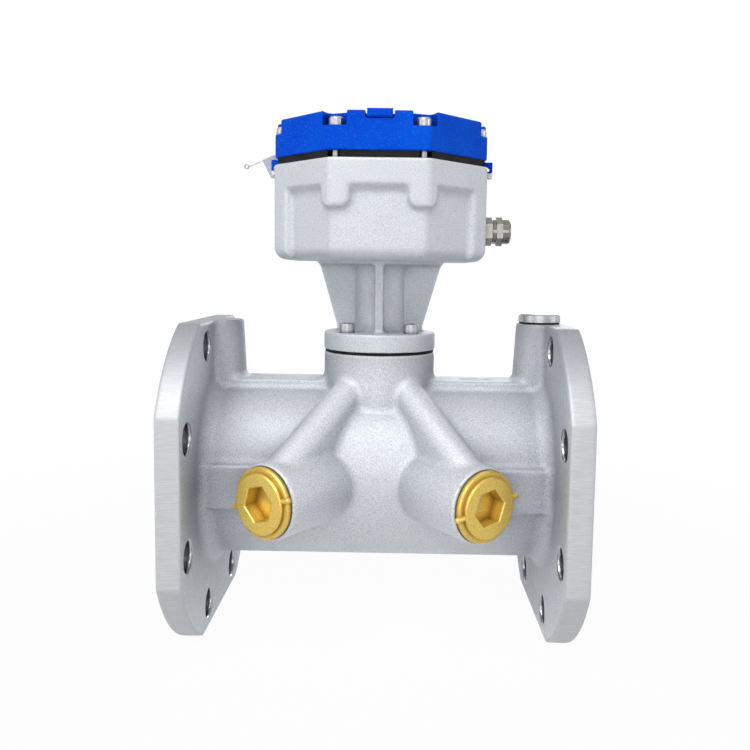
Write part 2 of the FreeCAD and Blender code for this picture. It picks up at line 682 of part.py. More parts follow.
def screw_boss(sx, sy):
    """Boss that hangs from the rim band around one front or back cover screw."""
    x = [px for px, py in cover_screw_places() if abs(py) > abs(px) and px * sx > 0][0]
    half = SCREW_BOSS_WIDTH / 2
    low = RIM_Z - SCREW_BOSS_DROP
    y0, y1 = sorted((sy * (HOUSING_A - HOUSING_WALL), sy * HOUSING_A))
    bar = block(x - half, x + half, y0, y1, low, RIM_Z)
    bar = bar.makeFillet(SCREW_BOSS_CORNER, [e for e in edges_at(bar, low) if e.BoundBox.YLength > NEAR])
    face = sy * HOUSING_A
    outline = [e for e in bar.Edges if e.BoundBox.YLength < NEAR and abs(e.BoundBox.YMin - face) < NEAR]
    outline = [e for e in outline if e.BoundBox.ZMin < RIM_Z - NEAR]
    bar = bar.makeFillet(SCREW_BOSS_EDGE, outline)
    return bar.common(octagon(0, low, RIM_Z, HOUSING_EDGE))


def octagon_wire(inset, z):
    """Outline of the octagon at one level, for lofting."""
    solid = octagon(inset, z, z + 1, HOUSING_EDGE)
    return [f for f in solid.Faces if f.BoundBox.ZMax < z + NEAR][0].OuterWire


def side_column(whole, room):
    """Part of the full outline that stays proud at a side face, its inner edges rounded."""
    column = octagon(0, HOUSING_Z, RIM_Z, HOUSING_EDGE).common(room)
    inner = HOUSING_A - SIDE_COLUMN
    edges = [e for e in upright_edges(column) if abs(abs(e.BoundBox.XMin) - inner) < NEAR]
    return column.makeFillet(SIDE_COLUMN_EDGE, edges).common(whole)


def base_outside():
    panel = octagon(PANEL_RECESS, HOUSING_Z, RIM_Z, HOUSING_EDGE)
    panel = panel.makeFillet(HOUSING_BOTTOM_EDGE, edges_at(panel, HOUSING_Z))
    band_z = RIM_Z - RIM_BAND
    band = octagon(0, band_z, RIM_Z, HOUSING_EDGE)
    outlines = [octagon_wire(PANEL_RECESS, band_z - RIM_BAND_SLOPE), octagon_wire(0, band_z)]
    slope = Part.makeLoft(outlines, True, True)
    whole = octagon(0, HOUSING_Z, RIM_Z, HOUSING_EDGE)
    whole = whole.makeFillet(HOUSING_BOTTOM_EDGE, edges_at(whole, HOUSING_Z))
    a = HOUSING_A
    columns = [side_column(whole, block(a - SIDE_COLUMN, a, -a, a, HOUSING_Z, RIM_Z)),
               side_column(whole, block(-a, SIDE_COLUMN - a, -a, a, HOUSING_Z, RIM_Z))]
    bosses = [screw_boss(sx, sy) for sx in (-1, 1) for sy in (-1, 1)]
    return [panel, band, slope] + columns + bosses


def seal_lug(side):
    x0, x1 = sorted((side * (HOUSING_A - LUG_ROOT), side * (HOUSING_A + EYE_REACH)))
    lug = block(x0, x1, -EYE_WIDTH / 2, EYE_WIDTH / 2, RIM_Z - LUG_HEIGHT, RIM_Z - EYE_GAP)
    hole_x = side * (HOUSING_A + EYE_REACH / 2)
    return lug.cut(cylinder(LUG_HOLE, EYE_WIDTH, (hole_x, -EYE_WIDTH / 2, RIM_Z - LUG_HEIGHT / 2), BACK))


def base_cavity():
    cavity = octagon(HOUSING_WALL, FLOOR_Z, RIM_Z, HOUSING_EDGE)
    posts = [cylinder(PILLAR_DIAMETER, BOARD_Z - FLOOR_Z, (x, y, FLOOR_Z)) for x, y in pillar_places()]
    posts += [cylinder(SCREW_SLEEVE, RIM_Z - FLOOR_Z, (x, y, FLOOR_Z)) for x, y in cover_screw_places()]
    return cavity.cut(posts)


def housing_base():
    base = fused(stem() + base_outside() + [seal_lug(-1), seal_lug(1)])
    cuts = [base_cavity(), cylinder(STEM_BORE, FLOOR_Z - STEM_Z, (0, 0, STEM_Z))]
    for x, y in cover_screw_places():
        depth = COVER_SCREW_REACH + TAPPING_SPARE
        cuts.append(cylinder(COVER_SCREW + 2 * THREAD_CLEARANCE, depth, (x, y, RIM_Z - depth)))
    for x, y in stem_screw_places():
        cuts.append(cylinder(STEM_SCREW + 2 * SCREW_CLEARANCE, STEM_DISC_THICKNESS, (x, y, STEM_Z)))
    for x, y in pillar_places():
        depth = BOARD_SCREW_GRIP + TAPPING_SPARE
        cuts.append(cylinder(BOARD_SCREW + 2 * THREAD_CLEARANCE, depth, (x, y, BOARD_Z - depth)))
    bore = GLAND_THREAD + 2 * THREAD_CLEARANCE
    cuts.append(cylinder(bore, HOUSING_WALL, (HOUSING_A - HOUSING_WALL, 0, GLAND_Z), ALONG))
    return base.cut(cuts)


def cap_screw(head, head_height, shank, grip, key, rounding):
    """Socket screw with a rounded top edge, made about +Z, the underside of its head at zero."""
    shaft = cylinder(shank, grip + head_height / 2, (0, 0, -grip))
    bolt = fused([shaft, cylinder(head, head_height, (0, 0, 0))])
    bolt = bolt.makeFillet(rounding, edges_at(bolt, head_height))
    return bolt.cut(prism(key, SCREW_KEY_DEPTH, (0, 0, head_height - SCREW_KEY_DEPTH)))


def screw_group(screw, places, z):
    return Part.makeCompound([screw.translated(Vector(x, y, z)) for x, y in places])


# Gasket, top cover, flip cover

def housing_gasket():
    gasket = octagon(GASKET_INSET, RIM_Z, COVER_Z).cut(octagon(GASKET_INSET + GASKET_BAND, RIM_Z, COVER_Z))
    radius = COVER_SCREW_CIRCLE / 2
    notches = []
    for x, y in cover_screw_places():
        outward = Vector(x, y, 0) / radius
        notch = cylinder(GASKET_NOTCH, GASKET_THICKNESS, (x, y, RIM_Z))
        slot = block(0, HOUSING_WALL, -GASKET_NOTCH / 2, GASKET_NOTCH / 2, 0, GASKET_THICKNESS)
        slot.Placement = Placement(Vector(x, y, RIM_Z), Rotation(ALONG, outward))
        notches += [notch, slot]
    return gasket.cut(notches)


def screw_notch(x, y):
    """Pocket that opens a corner of the cover for one screw head."""
    radius = COVER_SCREW_CIRCLE / 2
    back = COVER_SCREW_HEAD / 2 + SCREW_NOTCH_BACK
    half = SCREW_NOTCH_WIDTH / 2
    pocket = block(-back, 2 * HOUSING_WALL, -half, half, 0, 2 * SCREW_NOTCH_DEPTH)
    inner = [e for e in upright_edges(pocket) if e.BoundBox.XMin < 0]
    pocket = pocket.makeFillet(SCREW_NOTCH_CORNER, inner)
    pocket.Placement = Placement(Vector(x, y, NOTCH_Z), Rotation(ALONG, Vector(x, y, 0) / radius))
    return pocket


def seal_eye(side):
    """Ear on the cover's side that reaches down past the gasket, pierced for a seal wire."""
    clear = HOUSING_A + EYE_GAP
    tip = HOUSING_A + EYE_REACH
    half = EYE_WIDTH / 2
    x0, x1 = sorted((side * (HOUSING_A - COVER_WALL / 2), side * tip))
    upper = block(x0, x1, -half, half, COVER_Z, COVER_Z + EYE_TOP)
    x0, x1 = sorted((side * clear, side * tip))
    lower = block(x0, x1, -half, half, COVER_Z - EYE_DROP, COVER_Z + EYE_TOP)
    ear = fused([upper, lower])
    hole_x = side * (HOUSING_A + EYE_REACH / 2)
    return ear.cut(cylinder(EYE_HOLE, EYE_WIDTH, (hole_x, -half, COVER_Z - EYE_DROP / 2), BACK))


def top_cover():
    shell = octagon(COVER_INSET, COVER_Z, COVER_TOP, COVER_EDGE)
    shell = shell.makeFillet(COVER_TOP_EDGE, edges_at(shell, COVER_TOP))
    shell = fused([shell, seal_eye(-1), seal_eye(1)])
    margin = LID_RECESS_MARGIN
    cuts = [octagon(COVER_WALL, COVER_Z, DECK_Z, COVER_EDGE)]
    cuts.append(octagon(margin, RECESS_Z, COVER_TOP, COVER_EDGE))
    cuts += [screw_notch(x, y) for x, y in cover_screw_places()]
    hole = COVER_SCREW + 2 * SCREW_CLEARANCE
    cuts += [cylinder(hole, COVER_HEIGHT, (x, y, COVER_Z)) for x, y in cover_screw_places()]
    slot = TAB_WIDTH / 2 + TAB_SLOT_GAP
    cuts.append(block(-slot, slot, -HOUSING_A, margin - HOUSING_A, RECESS_Z + LID_FLOOR_GAP / 2, COVER_TOP))
    half = HINGE_WIDTH / 2 + HINGE_SIDE_GAP
    slot_end = HINGE_Y + HINGE_BARREL / 2 + HINGE_BACK_GAP
    slot_start = HOUSING_A - margin - LID_GAP
    cuts.append(block(-half, half, slot_start, slot_end, RECESS_Z - LID_FLOOR_GAP, COVER_TOP))
    seat = half + HINGE_PIN_SEAT + HINGE_SIDE_GAP
    bore = HINGE_PIN + 2 * HINGE_PIN_CLEARANCE
    cuts.append(cylinder(bore, 2 * seat, (-seat, HINGE_Y, HINGE_Z), ALONG))
    wide, deep = WINDOW
    ledge_z = RECESS_Z - WINDOW_GLASS - WINDOW_SEAL
    cuts.append(block(-wide / 2, wide / 2, -deep / 2, deep / 2, ledge_z, RECESS_Z))
    wide, deep = wide - 2 * WINDOW_LEDGE, deep - 2 * WINDOW_LEDGE
    cuts.append(block(-wide / 2, wide / 2, -deep / 2, deep / 2, DECK_Z, RECESS_Z))
    return shell.cut(cuts)


def flip_cover():
    leaf = octagon(LID_RECESS_MARGIN + LID_GAP, LID_Z, LID_TOP, COVER_EDGE)
    leaf = leaf.makeFillet(LID_EDGE, edges_at(leaf, LID_TOP))
    edge_y = HOUSING_A - LID_RECESS_MARGIN - LID_GAP
    half = TAB_WIDTH / 2
    tab = block(-half, half, -HOUSING_A + COVER_INSET - TAB_REACH, -edge_y + 2 * LID_EDGE, LID_Z, LID_TOP)
    front = [e for e in tab.Edges if e.BoundBox.YMax < -HOUSING_A + COVER_INSET]
    tab = tab.makeFillet(LID_EDGE, front)
    half = HINGE_WIDTH / 2
    barrel = cylinder(HINGE_BARREL, HINGE_WIDTH, (-half, HINGE_Y, HINGE_Z), ALONG)
    tongue = block(-half, half, edge_y - 2 * LID_EDGE, HINGE_Y, LID_Z, HINGE_Z + HINGE_BARREL / 2)
    leaf = fused([leaf, tab, barrel, tongue])
    bore = HINGE_PIN + 2 * HINGE_PIN_CLEARANCE
    return leaf.cut(cylinder(bore, HINGE_WIDTH, (-half, HINGE_Y, HINGE_Z), ALONG))


def hinge_pin():
    seat = HINGE_WIDTH / 2 + HINGE_SIDE_GAP + HINGE_PIN_SEAT
    return cylinder(HINGE_PIN, 2 * seat, (-seat, HINGE_Y, HINGE_Z), ALONG)


# Window, display and electronics

def window_glass():
    wide, deep = [size / 2 - WINDOW_CLEARANCE for size in WINDOW]
    return block(-wide, wide, -deep, deep, RECESS_Z - WINDOW_GLASS, RECESS_Z - WINDOW_CLEARANCE)


def window_seal():
    wide, deep = [size / 2 - WINDOW_CLEARANCE for size in WINDOW]
    z0, z1 = RECESS_Z - WINDOW_GLASS - WINDOW_SEAL, RECESS_Z - WINDOW_GLASS
    inner = WINDOW_LEDGE
    return block(-wide, wide, -deep, deep, z0, z1).cut(
        block(inner - wide, wide - inner, inner - deep, deep - inner, z0, z1))


def display_board():
    wide, deep = DISPLAY_BOARD
    return block(-wide / 2, wide / 2, -deep / 2, deep / 2, SPACER_TOP, DISPLAY_Z)


def display_glass():
    wide, deep = DISPLAY_GLASS
    return block(-wide / 2, wide / 2, -deep / 2, deep / 2, DISPLAY_Z, DISPLAY_TOP)


def display_spacers():
    x = DISPLAY_BOARD[0] / 2 - SPACER_MARGIN
    y = DISPLAY_BOARD[1] / 2 - SPACER_MARGIN
    places = [(sx * x, sy * y) for sx in (-1, 1) for sy in (-1, 1)]
    height = SPACER_TOP - BOARD_TOP
    return Part.makeCompound([prism(SPACER_DIAMETER, height, (px, py, BOARD_TOP)) for px, py in places])


def main_board():
    board = octagon(HOUSING_WALL + BOARD_GAP, BOARD_Z, BOARD_TOP)
    sleeve = SCREW_SLEEVE + 2 * BOARD_SLEEVE_GAP
    holes = [cylinder(sleeve, BOARD_THICKNESS, (x, y, BOARD_Z)) for x, y in cover_screw_places()]
    hole = BOARD_SCREW + 2 * SCREW_CLEARANCE
    holes += [cylinder(hole, BOARD_THICKNESS, (x, y, BOARD_Z)) for x, y in pillar_places()]
    return board.cut(holes)


def battery():
    half = BATTERY_LENGTH / 2
    stub, proud = BATTERY_TERMINAL
    can = cylinder(BATTERY_DIAMETER, BATTERY_LENGTH, (-half, BATTERY_SETBACK, BATTERY_Z), ALONG)
    can = can.makeFillet(BATTERY_EDGE, [e for e in can.Edges if e.BoundBox.XLength < NEAR])
    return can.fuse(cylinder(stub, proud, (half, BATTERY_SETBACK, BATTERY_Z), ALONG))


def battery_holder():
    """Cradle on the housing floor: a trough with two end walls."""
    room = BATTERY_LENGTH / 2 + BATTERY_TERMINAL[1] + HOLDER_CLEARANCE
    outer = room + HOLDER_WALL
    half = BATTERY_DIAMETER / 2 + HOLDER_CLEARANCE
    wall = half + HOLDER_WALL
    y = BATTERY_SETBACK
    trough = block(-outer, outer, y - wall, y + wall, FLOOR_Z, BATTERY_Z)
    return trough.cut([cylinder(2 * half, 2 * room, (-room, y, BATTERY_Z), ALONG)])


def terminal_block():
    long, wide, high = TERMINAL_BLOCK
    x, y = TERMINAL_PLACE
    body = block(x - long / 2, x + long / 2, y - wide / 2, y + wide / 2, BOARD_Z - high, BOARD_Z)
    pitch = long / TERMINAL_WAYS
    holes = []
    for i in range(TERMINAL_WAYS):
        px = x - long / 2 + pitch * (i + 0.5)
        holes.append(cylinder(TERMINAL_HOLE, wide / 2, (px, y, BOARD_Z - high / 2), BACK))
    return body.cut(holes)


def radio_module():
    long, wide, high = RADIO_MODULE
    x, y = RADIO_PLACE
    can = block(x - long / 2, x + long / 2, y - wide / 2, y + wide / 2, BOARD_TOP, BOARD_TOP + high)
    return can.makeFillet(RADIO_EDGE, edges_at(can, BOARD_TOP + high))


def antenna():
    x, y = ANTENNA_PLACE
    z = BOARD_TOP + ANTENNA_DIAMETER / 2
    rod = cylinder(ANTENNA_DIAMETER, ANTENNA_LENGTH, (x - ANTENNA_LENGTH / 2, y, z), ALONG)
    half = ANTENNA_FOOT / 2
    foot = block(x - ANTENNA_LENGTH / 2, x + ANTENNA_LENGTH / 2, y - half, y + half, BOARD_TOP, z)
    return fused([rod, foot])


# Cable gland, made along +X from the housing's right face

def gland_body():
    x = HOUSING_A
    hex_end = GLAND_NECK_X
    thread_start = x - HOUSING_WALL - LOCKNUT_THICKNESS - GLAND_THREAD_PROUD
    body = cylinder(GLAND_THREAD, hex_end - thread_start, (thread_start, 0, GLAND_Z), ALONG)
    collar = prism(GLAND_HEX, GLAND_HEX_LENGTH, (x + GLAND_O_RING, 0, GLAND_Z), ALONG)
    neck = cylinder(GLAND_NECK, GLAND_NECK_LENGTH, (hex_end, 0, GLAND_Z), ALONG)
    body = fused([body, collar, neck])
    bore = GLAND_INSERT + 2 * (2 * GLAND_CLAW_GAP + GLAND_CLAW_WALL)
    cuts = [cylinder(GLAND_INSERT, hex_end - thread_start, (thread_start, 0, GLAND_Z), ALONG)]
    cuts.append(cylinder(bore, GLAND_NECK_LENGTH, (hex_end, 0, GLAND_Z), ALONG))
    return body.cut(cuts)


def along_gland(shape):
    """Turn a piece made about +Z onto the gland's axis, zero at the end of the body's hexagon."""
    shape.Placement = Placement(Vector(GLAND_NECK_X, 0, GLAND_Z), Rotation(UP, ALONG))
    return shape


def gland_o_ring():
    band = ring(GLAND_HEX - 2 * GLAND_O_RING_INSET, GLAND_THREAD, 0, GLAND_O_RING)
    band.Placement = Placement(Vector(HOUSING_A, 0, GLAND_Z), Rotation(UP, ALONG))
    return band


def gland_insert():
    outer = GLAND_INSERT / 2
    end = GLAND_INSERT_LENGTH
    inner = GLAND_ENTRY / 2
    step, run = GLAND_INSERT_TAPER
    outline = [(inner, 0), (outer, 0), (outer, end - run), (outer - step, end), (inner, end)]
    return along_gland(turned(outline))


def gland_claw():
    """Sleeve round the insert, slotted at its outer end into fingers that the cap would close."""
    inner = GLAND_INSERT + 2 * GLAND_CLAW_GAP
    sleeve = ring(inner + 2 * GLAND_CLAW_WALL, inner, 0, CLAW_END)
    half = GLAND_CLAW_SLOT / 2
    slots = []
    for i in range(GLAND_CLAWS):
        slot = block(0, GLAND_NECK, -half, half, GLAND_NECK_LENGTH, CLAW_END)
        slot.rotate(Vector(0, 0, 0), UP, 360 * i / GLAND_CLAWS)
        slots.append(slot)
    return along_gland(sleeve.cut(slots))


def gland_cap():
    outer = GLAND_CAP_DIAMETER / 2
    neck = GLAND_NECK / 2 + THREAD_CLEARANCE
    claw = GLAND_INSERT / 2 + GLAND_CLAW_WALL + 4 * GLAND_CLAW_GAP
    mouth = GLAND_ENTRY / 2 + GLAND_MOUTH_MARGIN
    end = GLAND_CAP_LENGTH
    shoulder = GLAND_NECK_LENGTH + GLAND_CAP_GAP
    lip = end - GLAND_CAP_LIP
    barrel = turned([(neck, GLAND_CAP_GAP), (outer, GLAND_CAP_GAP), (outer, end), (mouth, end), (mouth, lip),
                     (claw, lip), (claw, shoulder), (neck, shoulder)])
    rims = [e for e in edges_at(barrel, end) if e.BoundBox.XLength > 2 * mouth + NEAR]
    barrel = barrel.makeFillet(GLAND_CAP_EDGE, rims)
    collar = prism(GLAND_CAP_HEX, GLAND_CAP_HEX_LENGTH, (0, 0, GLAND_CAP_HEX_START))
    collar = collar.cut(cylinder(2 * neck, GLAND_CAP_LENGTH, (0, 0, 0)))
    return along_gland(fused([barrel, collar]))


def gland_locknut():
    start = HOUSING_A - HOUSING_WALL - LOCKNUT_THICKNESS
    nut = prism(LOCKNUT_HEX, LOCKNUT_THICKNESS, (start, 0, GLAND_Z), ALONG)
    bore = GLAND_THREAD + 2 * THREAD_CLEARANCE
    return nut.cut(cylinder(bore, LOCKNUT_THICKNESS, (start, 0, GLAND_Z), ALONG))


# Seal on the left eye

def seal_wire():
    """Closed loop through the cover's eye and the base's lug, its tail run out past the tag to an eyelet."""
    r = SEAL_WIRE / 2
    bend = (WIRE_TOP - WIRE_LOW) / 2
    half = EYE_WIDTH / 2 + SEAL_LOOP_END
    middle = (WIRE_TOP + WIRE_LOW) / 2
    bars = [cylinder(SEAL_WIRE, 2 * half, (EYE_X, -half, z), BACK) for z in (WIRE_TOP, WIRE_LOW)]
    front = Part.makeTorus(bend, r, Vector(EYE_X, -half, middle), ALONG)
    back = Part.makeTorus(bend, r, Vector(EYE_X, half, middle), ALONG)
    reach = 4 * half
    box_front = block(EYE_X - r, EYE_X + r, -reach, -half, WIRE_LOW - r, WIRE_TOP + r)
    box_back = block(EYE_X - r, EYE_X + r, half, reach, WIRE_LOW - r, WIRE_TOP + r)
    y = EYE_WIDTH / 2 + TAG_GAP + TAG_THICKNESS + r + TAG_WIRE_GAP
    knots = [Vector(EYE_X, y, WIRE_TOP), Vector(EYE_X - TAG_REACH[0], y, WIRE_TOP + TAG_RISE[1])]
    knots.append(knots[1] + Vector(-TAIL_REACH, 0, -TAIL_FALL))
    tail = [Part.makeSphere(TAIL_WIRE / 2, knots[1])]
    for a, b in zip(knots, knots[1:]):
        tail.append(Part.makeCylinder(TAIL_WIRE / 2, (b - a).Length, a, b - a))
    eyelet = Part.makeTorus(TAIL_LOOP / 2, r, knots[2] - ALONG * (TAIL_LOOP / 2), BACK)
    return fused(bars + [front.common(box_front), back.common(box_back)] + tail + [eyelet])


def seal_tag():
    y0 = EYE_WIDTH / 2 + TAG_GAP
    wide_top, wide_low = TAG_REACH
    high_right, high_left = TAG_RISE
    right = EYE_X + EYE_REACH / 2 - LUG_ROOT
    low = WIRE_LOW - TAG_FALL
    outline = [(right, y0, low), (EYE_X - wide_low, y0, low + TAG_TOE),
               (EYE_X - wide_top, y0, WIRE_TOP + high_left), (right, y0, WIRE_TOP + high_right)]
    tag = plate(outline, BACK * TAG_THICKNESS)
    hole = SEAL_WIRE + 2 * TAG_WIRE_GAP
    return tag.cut([cylinder(hole, TAG_THICKNESS, (EYE_X, y0, z), BACK) for z in (WIRE_TOP, WIRE_LOW)])


def build():
    parts = {"meter_body": meter_body(), "neck_gasket": neck_gasket(), "port_plug": port_plug(),
             "port_plug_seal": port_plug_seal()}
    for corner in CORNERS:
        parts["transducer_" + corner] = on_path(transducer(), corner)
        parts["transducer_ring_" + corner] = on_path(transducer_ring(), corner)
        parts["transducer_nut_" + corner] = on_path(retaining_nut(), corner)
        parts["plug_washer_" + corner] = on_path(washer(), corner)
        parts["transducer_plug_" + corner] = on_path(plug(PLUG_TURN[corner]), corner)
    parts["transducer_leads"] = Part.makeCompound([lead(corner) for corner in CORNERS])
    parts["housing_base"] = housing_base()
    stem_grip = STEM_DISC_THICKNESS + NECK_GASKET + STEM_SCREW_GRIP
    stem_screw = cap_screw(STEM_SCREW_HEAD, STEM_SCREW_HEAD_HEIGHT, STEM_SCREW,
                           stem_grip, STEM_SCREW_KEY, STEM_SCREW_ROUND)
    parts["stem_screws"] = screw_group(stem_screw, stem_screw_places(), DISC_TOP)
    parts["housing_gasket"] = housing_gasket()
    parts["top_cover"] = top_cover()
    cover_grip = NOTCH_Z - RIM_Z + COVER_SCREW_REACH
    cover_screw = cap_screw(COVER_SCREW_HEAD, COVER_SCREW_HEAD_HEIGHT, COVER_SCREW,
                            cover_grip, COVER_SCREW_KEY, COVER_SCREW_ROUND)
    parts["cover_screws"] = screw_group(cover_screw, cover_screw_places(), NOTCH_Z)
    parts["flip_cover"] = flip_cover()
    parts["hinge_pin"] = hinge_pin()
    parts["window_glass"] = window_glass()
    parts["window_seal"] = window_seal()
    parts["display_board"] = display_board()
    parts["display_glass"] = display_glass()
    parts["display_spacers"] = display_spacers()
    parts["main_board"] = main_board()
    board_screw = cap_screw(BOARD_SCREW_HEAD, BOARD_SCREW_HEAD_HEIGHT, BOARD_SCREW,
                            BOARD_THICKNESS + BOARD_SCREW_GRIP, BOARD_SCREW_KEY, BOARD_SCREW_ROUND)
    parts["board_screws"] = screw_group(board_screw, pillar_places(), BOARD_TOP)
    parts["battery"] = battery()
    parts["battery_holder"] = battery_holder()
    parts["terminal_block"] = terminal_block()
    parts["radio_module"] = radio_module()
    parts["antenna"] = antenna()
    parts["gland_body"] = gland_body()
    parts["gland_o_ring"] = gland_o_ring()
    parts["gland_insert"] = gland_insert()
    parts["gland_claw"] = gland_claw()
    parts["gland_cap"] = gland_cap()
    parts["gland_locknut"] = gland_locknut()
    parts["seal_wire"] = seal_wire()
    parts["seal_tag"] = seal_tag()
    return parts


os.makedirs("parts", exist_ok=True)
for name, shape in build().items():
    shape.exportStep("parts/" + name + ".step")
    print(name, len(shape.Solids), "solids", round(shape.Volume / 1000, 2), "cm3", shape.isValid())
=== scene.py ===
# %% [markdown]
# # Dressing a flanged water meter
# The solids of the meter are ready: a cast body with two flanges, four brass plugs, a stem and an
# eight-sided register housing under a blue cover. This lesson gives them their looks. The solids
# are loaded as a fixed frame, in metres, and nothing in it is moved. What the casting process
# rounds off, and what a drawing leaves plain, is modelled here and set onto that frame.

# %% Load the solids
import math

import bpy
import numpy as np
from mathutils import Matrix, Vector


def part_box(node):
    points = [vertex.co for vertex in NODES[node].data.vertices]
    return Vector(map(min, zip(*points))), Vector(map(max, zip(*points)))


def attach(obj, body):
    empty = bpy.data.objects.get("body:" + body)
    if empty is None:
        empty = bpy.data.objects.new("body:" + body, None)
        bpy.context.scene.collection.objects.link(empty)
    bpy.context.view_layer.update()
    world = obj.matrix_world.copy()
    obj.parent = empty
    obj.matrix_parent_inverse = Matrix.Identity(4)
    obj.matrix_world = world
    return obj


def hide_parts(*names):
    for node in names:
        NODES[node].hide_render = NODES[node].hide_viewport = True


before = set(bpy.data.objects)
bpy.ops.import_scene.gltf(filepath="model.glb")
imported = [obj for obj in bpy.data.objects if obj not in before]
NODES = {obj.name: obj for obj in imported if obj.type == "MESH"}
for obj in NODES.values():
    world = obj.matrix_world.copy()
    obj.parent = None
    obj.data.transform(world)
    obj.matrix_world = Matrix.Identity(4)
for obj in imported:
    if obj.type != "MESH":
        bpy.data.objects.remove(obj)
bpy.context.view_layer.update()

MM = 0.001

# %% [markdown]
# ## Where the camera stands
# The photograph was taken from half a metre in front of the meter, a little above the pipe and
# looking slightly down. A short lens that close gives the strong view into both flanges. The small
# shift puts the meter in the frame where the photograph has it, so that the camera needs no extra
# turn.

# %% Camera
CAMERA_EYE = (0.0111, -0.5166, 0.2293)
CAMERA_TURN = (84.770, -0.803, 0.766)
CAMERA_LENS = 37.22
CAMERA_SENSOR = 36
CAMERA_SHIFT = (-0.0157, -0.0419)
CAMERA_NEAR = 0.01
bpy.ops.object.select_all(action="DESELECT")
bpy.ops.object.camera_add(location=CAMERA_EYE, rotation=[math.radians(a) for a in CAMERA_TURN])
camera = bpy.context.object
camera.name = "photo_camera"
camera.data.sensor_width = CAMERA_SENSOR
camera.data.lens = CAMERA_LENS
camera.data.shift_x, camera.data.shift_y = CAMERA_SHIFT
camera.data.clip_start = CAMERA_NEAR
bpy.context.scene.camera = camera
bpy.context.scene.view_settings.view_transform = "Standard"
print("camera at", CAMERA_EYE, "lens", CAMERA_LENS)

# %% [markdown]
# ## First tools for node trees
# Light and finishes are both node trees, and a tree takes several lines for each node. Small
# helpers add one node each and hand back its output, so that what follows reads like a recipe.

# %% Number nodes


def feed(tree, socket, value):
    """Link an output to an input, or write a plain value on it."""
    if isinstance(value, bpy.types.NodeSocket):
        tree.links.new(value, socket)
    else:
        socket.default_value = value


def calc(tree, operation, a, b=0.0):
    """One sum on values or outputs."""
    node = tree.nodes.new("ShaderNodeMath")
    node.operation = operation
    feed(tree, node.inputs[0], a)
    feed(tree, node.inputs[1], b)
    return node.outputs[0]


def span(tree, value, low, high, start=0.3, end=0.7):
    """Stretch a value's part from start to end over low to high. A noise lies within 0.3 to 0.7."""
    node = tree.nodes.new("ShaderNodeMapRange")
    numbers = {"From Min": start, "From Max": end, "To Min": low, "To Max": high}
    for name, number in numbers.items():
        node.inputs[name].default_value = number
    tree.links.new(value, node.inputs["Value"])
    return node.outputs["Result"]


print("number nodes:", [helper.__name__ for helper in (feed, calc, span)])

# %% [markdown]
# ## A white world
# Product pictures are taken before plain white. The world shows white to the camera, to mirrors
# and through glass, and only a quiet grey to everything else, so the white behind the meter adds
# no light to it.

# %% World
WHITE = (1.0, 1.0, 1.0, 1.0)
AMBIENT = (0.86, 0.88, 0.93, 1.0)
AMBIENT_STRENGTH = 0.11


def seen_directly(tree):
    """1 for camera, mirror and glass rays, 0 for the rays that light surfaces."""
    path = tree.nodes.new("ShaderNodeLightPath").outputs
    mirrored = calc(tree, "MAXIMUM", path["Is Camera Ray"], path["Is Glossy Ray"])
    return calc(tree, "MAXIMUM", mirrored, path["Is Transmission Ray"])


def mix_to_surface(tree, share, first, second, output):
    """Mix two shaders by a share and show the result."""
    mix = tree.nodes.new("ShaderNodeMixShader")
    for socket, source in zip(mix.inputs, (share, first.outputs[0], second.outputs[0])):
        tree.links.new(source, socket)
    tree.links.new(mix.outputs[0], tree.nodes[output].inputs["Surface"])


def light_world():
    world = bpy.data.worlds.new("white_studio")
    world.use_nodes = True
    tree = world.node_tree
    quiet = tree.nodes["Background"]
    quiet.inputs["Color"].default_value = AMBIENT
    quiet.inputs["Strength"].default_value = AMBIENT_STRENGTH
    white = tree.nodes.new("ShaderNodeBackground")
    white.inputs["Color"].default_value = WHITE
    mix_to_surface(tree, seen_directly(tree), quiet, white, "World Output")
    bpy.context.scene.world = world


light_world()
print("world:", bpy.context.scene.world.name)

# %% [markdown]
# ## The table
# The white table works as the world does, but keeps a small part of its own shading, and with it
# the soft shadow under the meter. Away from the meter that part fades, so the table runs into the
# white behind it and no horizon shows.

# %% Table
TABLE_SIZE = 12.0
TABLE_GREY = (0.80, 0.80, 0.80, 1.0)
TABLE_GLOW = 0.96
FADE_START = 0.25
FADE_END = 0.60


def lay_table():
    bpy.ops.object.select_all(action="DESELECT")
    bpy.ops.mesh.primitive_plane_add(size=TABLE_SIZE)
    table = bpy.context.object
    table.name = "table"
    finish = bpy.data.materials.new("table_white")
    finish.use_nodes = True
    tree = finish.node_tree
    tree.nodes.remove(tree.nodes["Principled BSDF"])
    matt = tree.nodes.new("ShaderNodeBsdfDiffuse")
    matt.inputs["Color"].default_value = TABLE_GREY
    glow = tree.nodes.new("ShaderNodeEmission")
    away = tree.nodes.new("ShaderNodeVectorMath")
    away.operation = "LENGTH"
    tree.links.new(tree.nodes.new("ShaderNodeTexCoord").outputs["Object"], away.inputs[0])
    fade = span(tree, away.outputs["Value"], TABLE_GLOW, 1.0, FADE_START, FADE_END)
    share = calc(tree, "MULTIPLY", seen_directly(tree), fade)
    mix_to_surface(tree, share, matt, glow, "Material Output")
    table.data.materials.append(finish)


lay_table()
print("table:", TABLE_SIZE, "metres wide")

# %% [markdown]
# ## Soft boxes
# Large lamps give soft shadows. The key box stands high in front and a little to the left, and
# draws the bright upper half of the pipe. The front box opens the shade under the housing, two
# small boxes light the sides, and one behind keeps the back clear when the camera walks round.

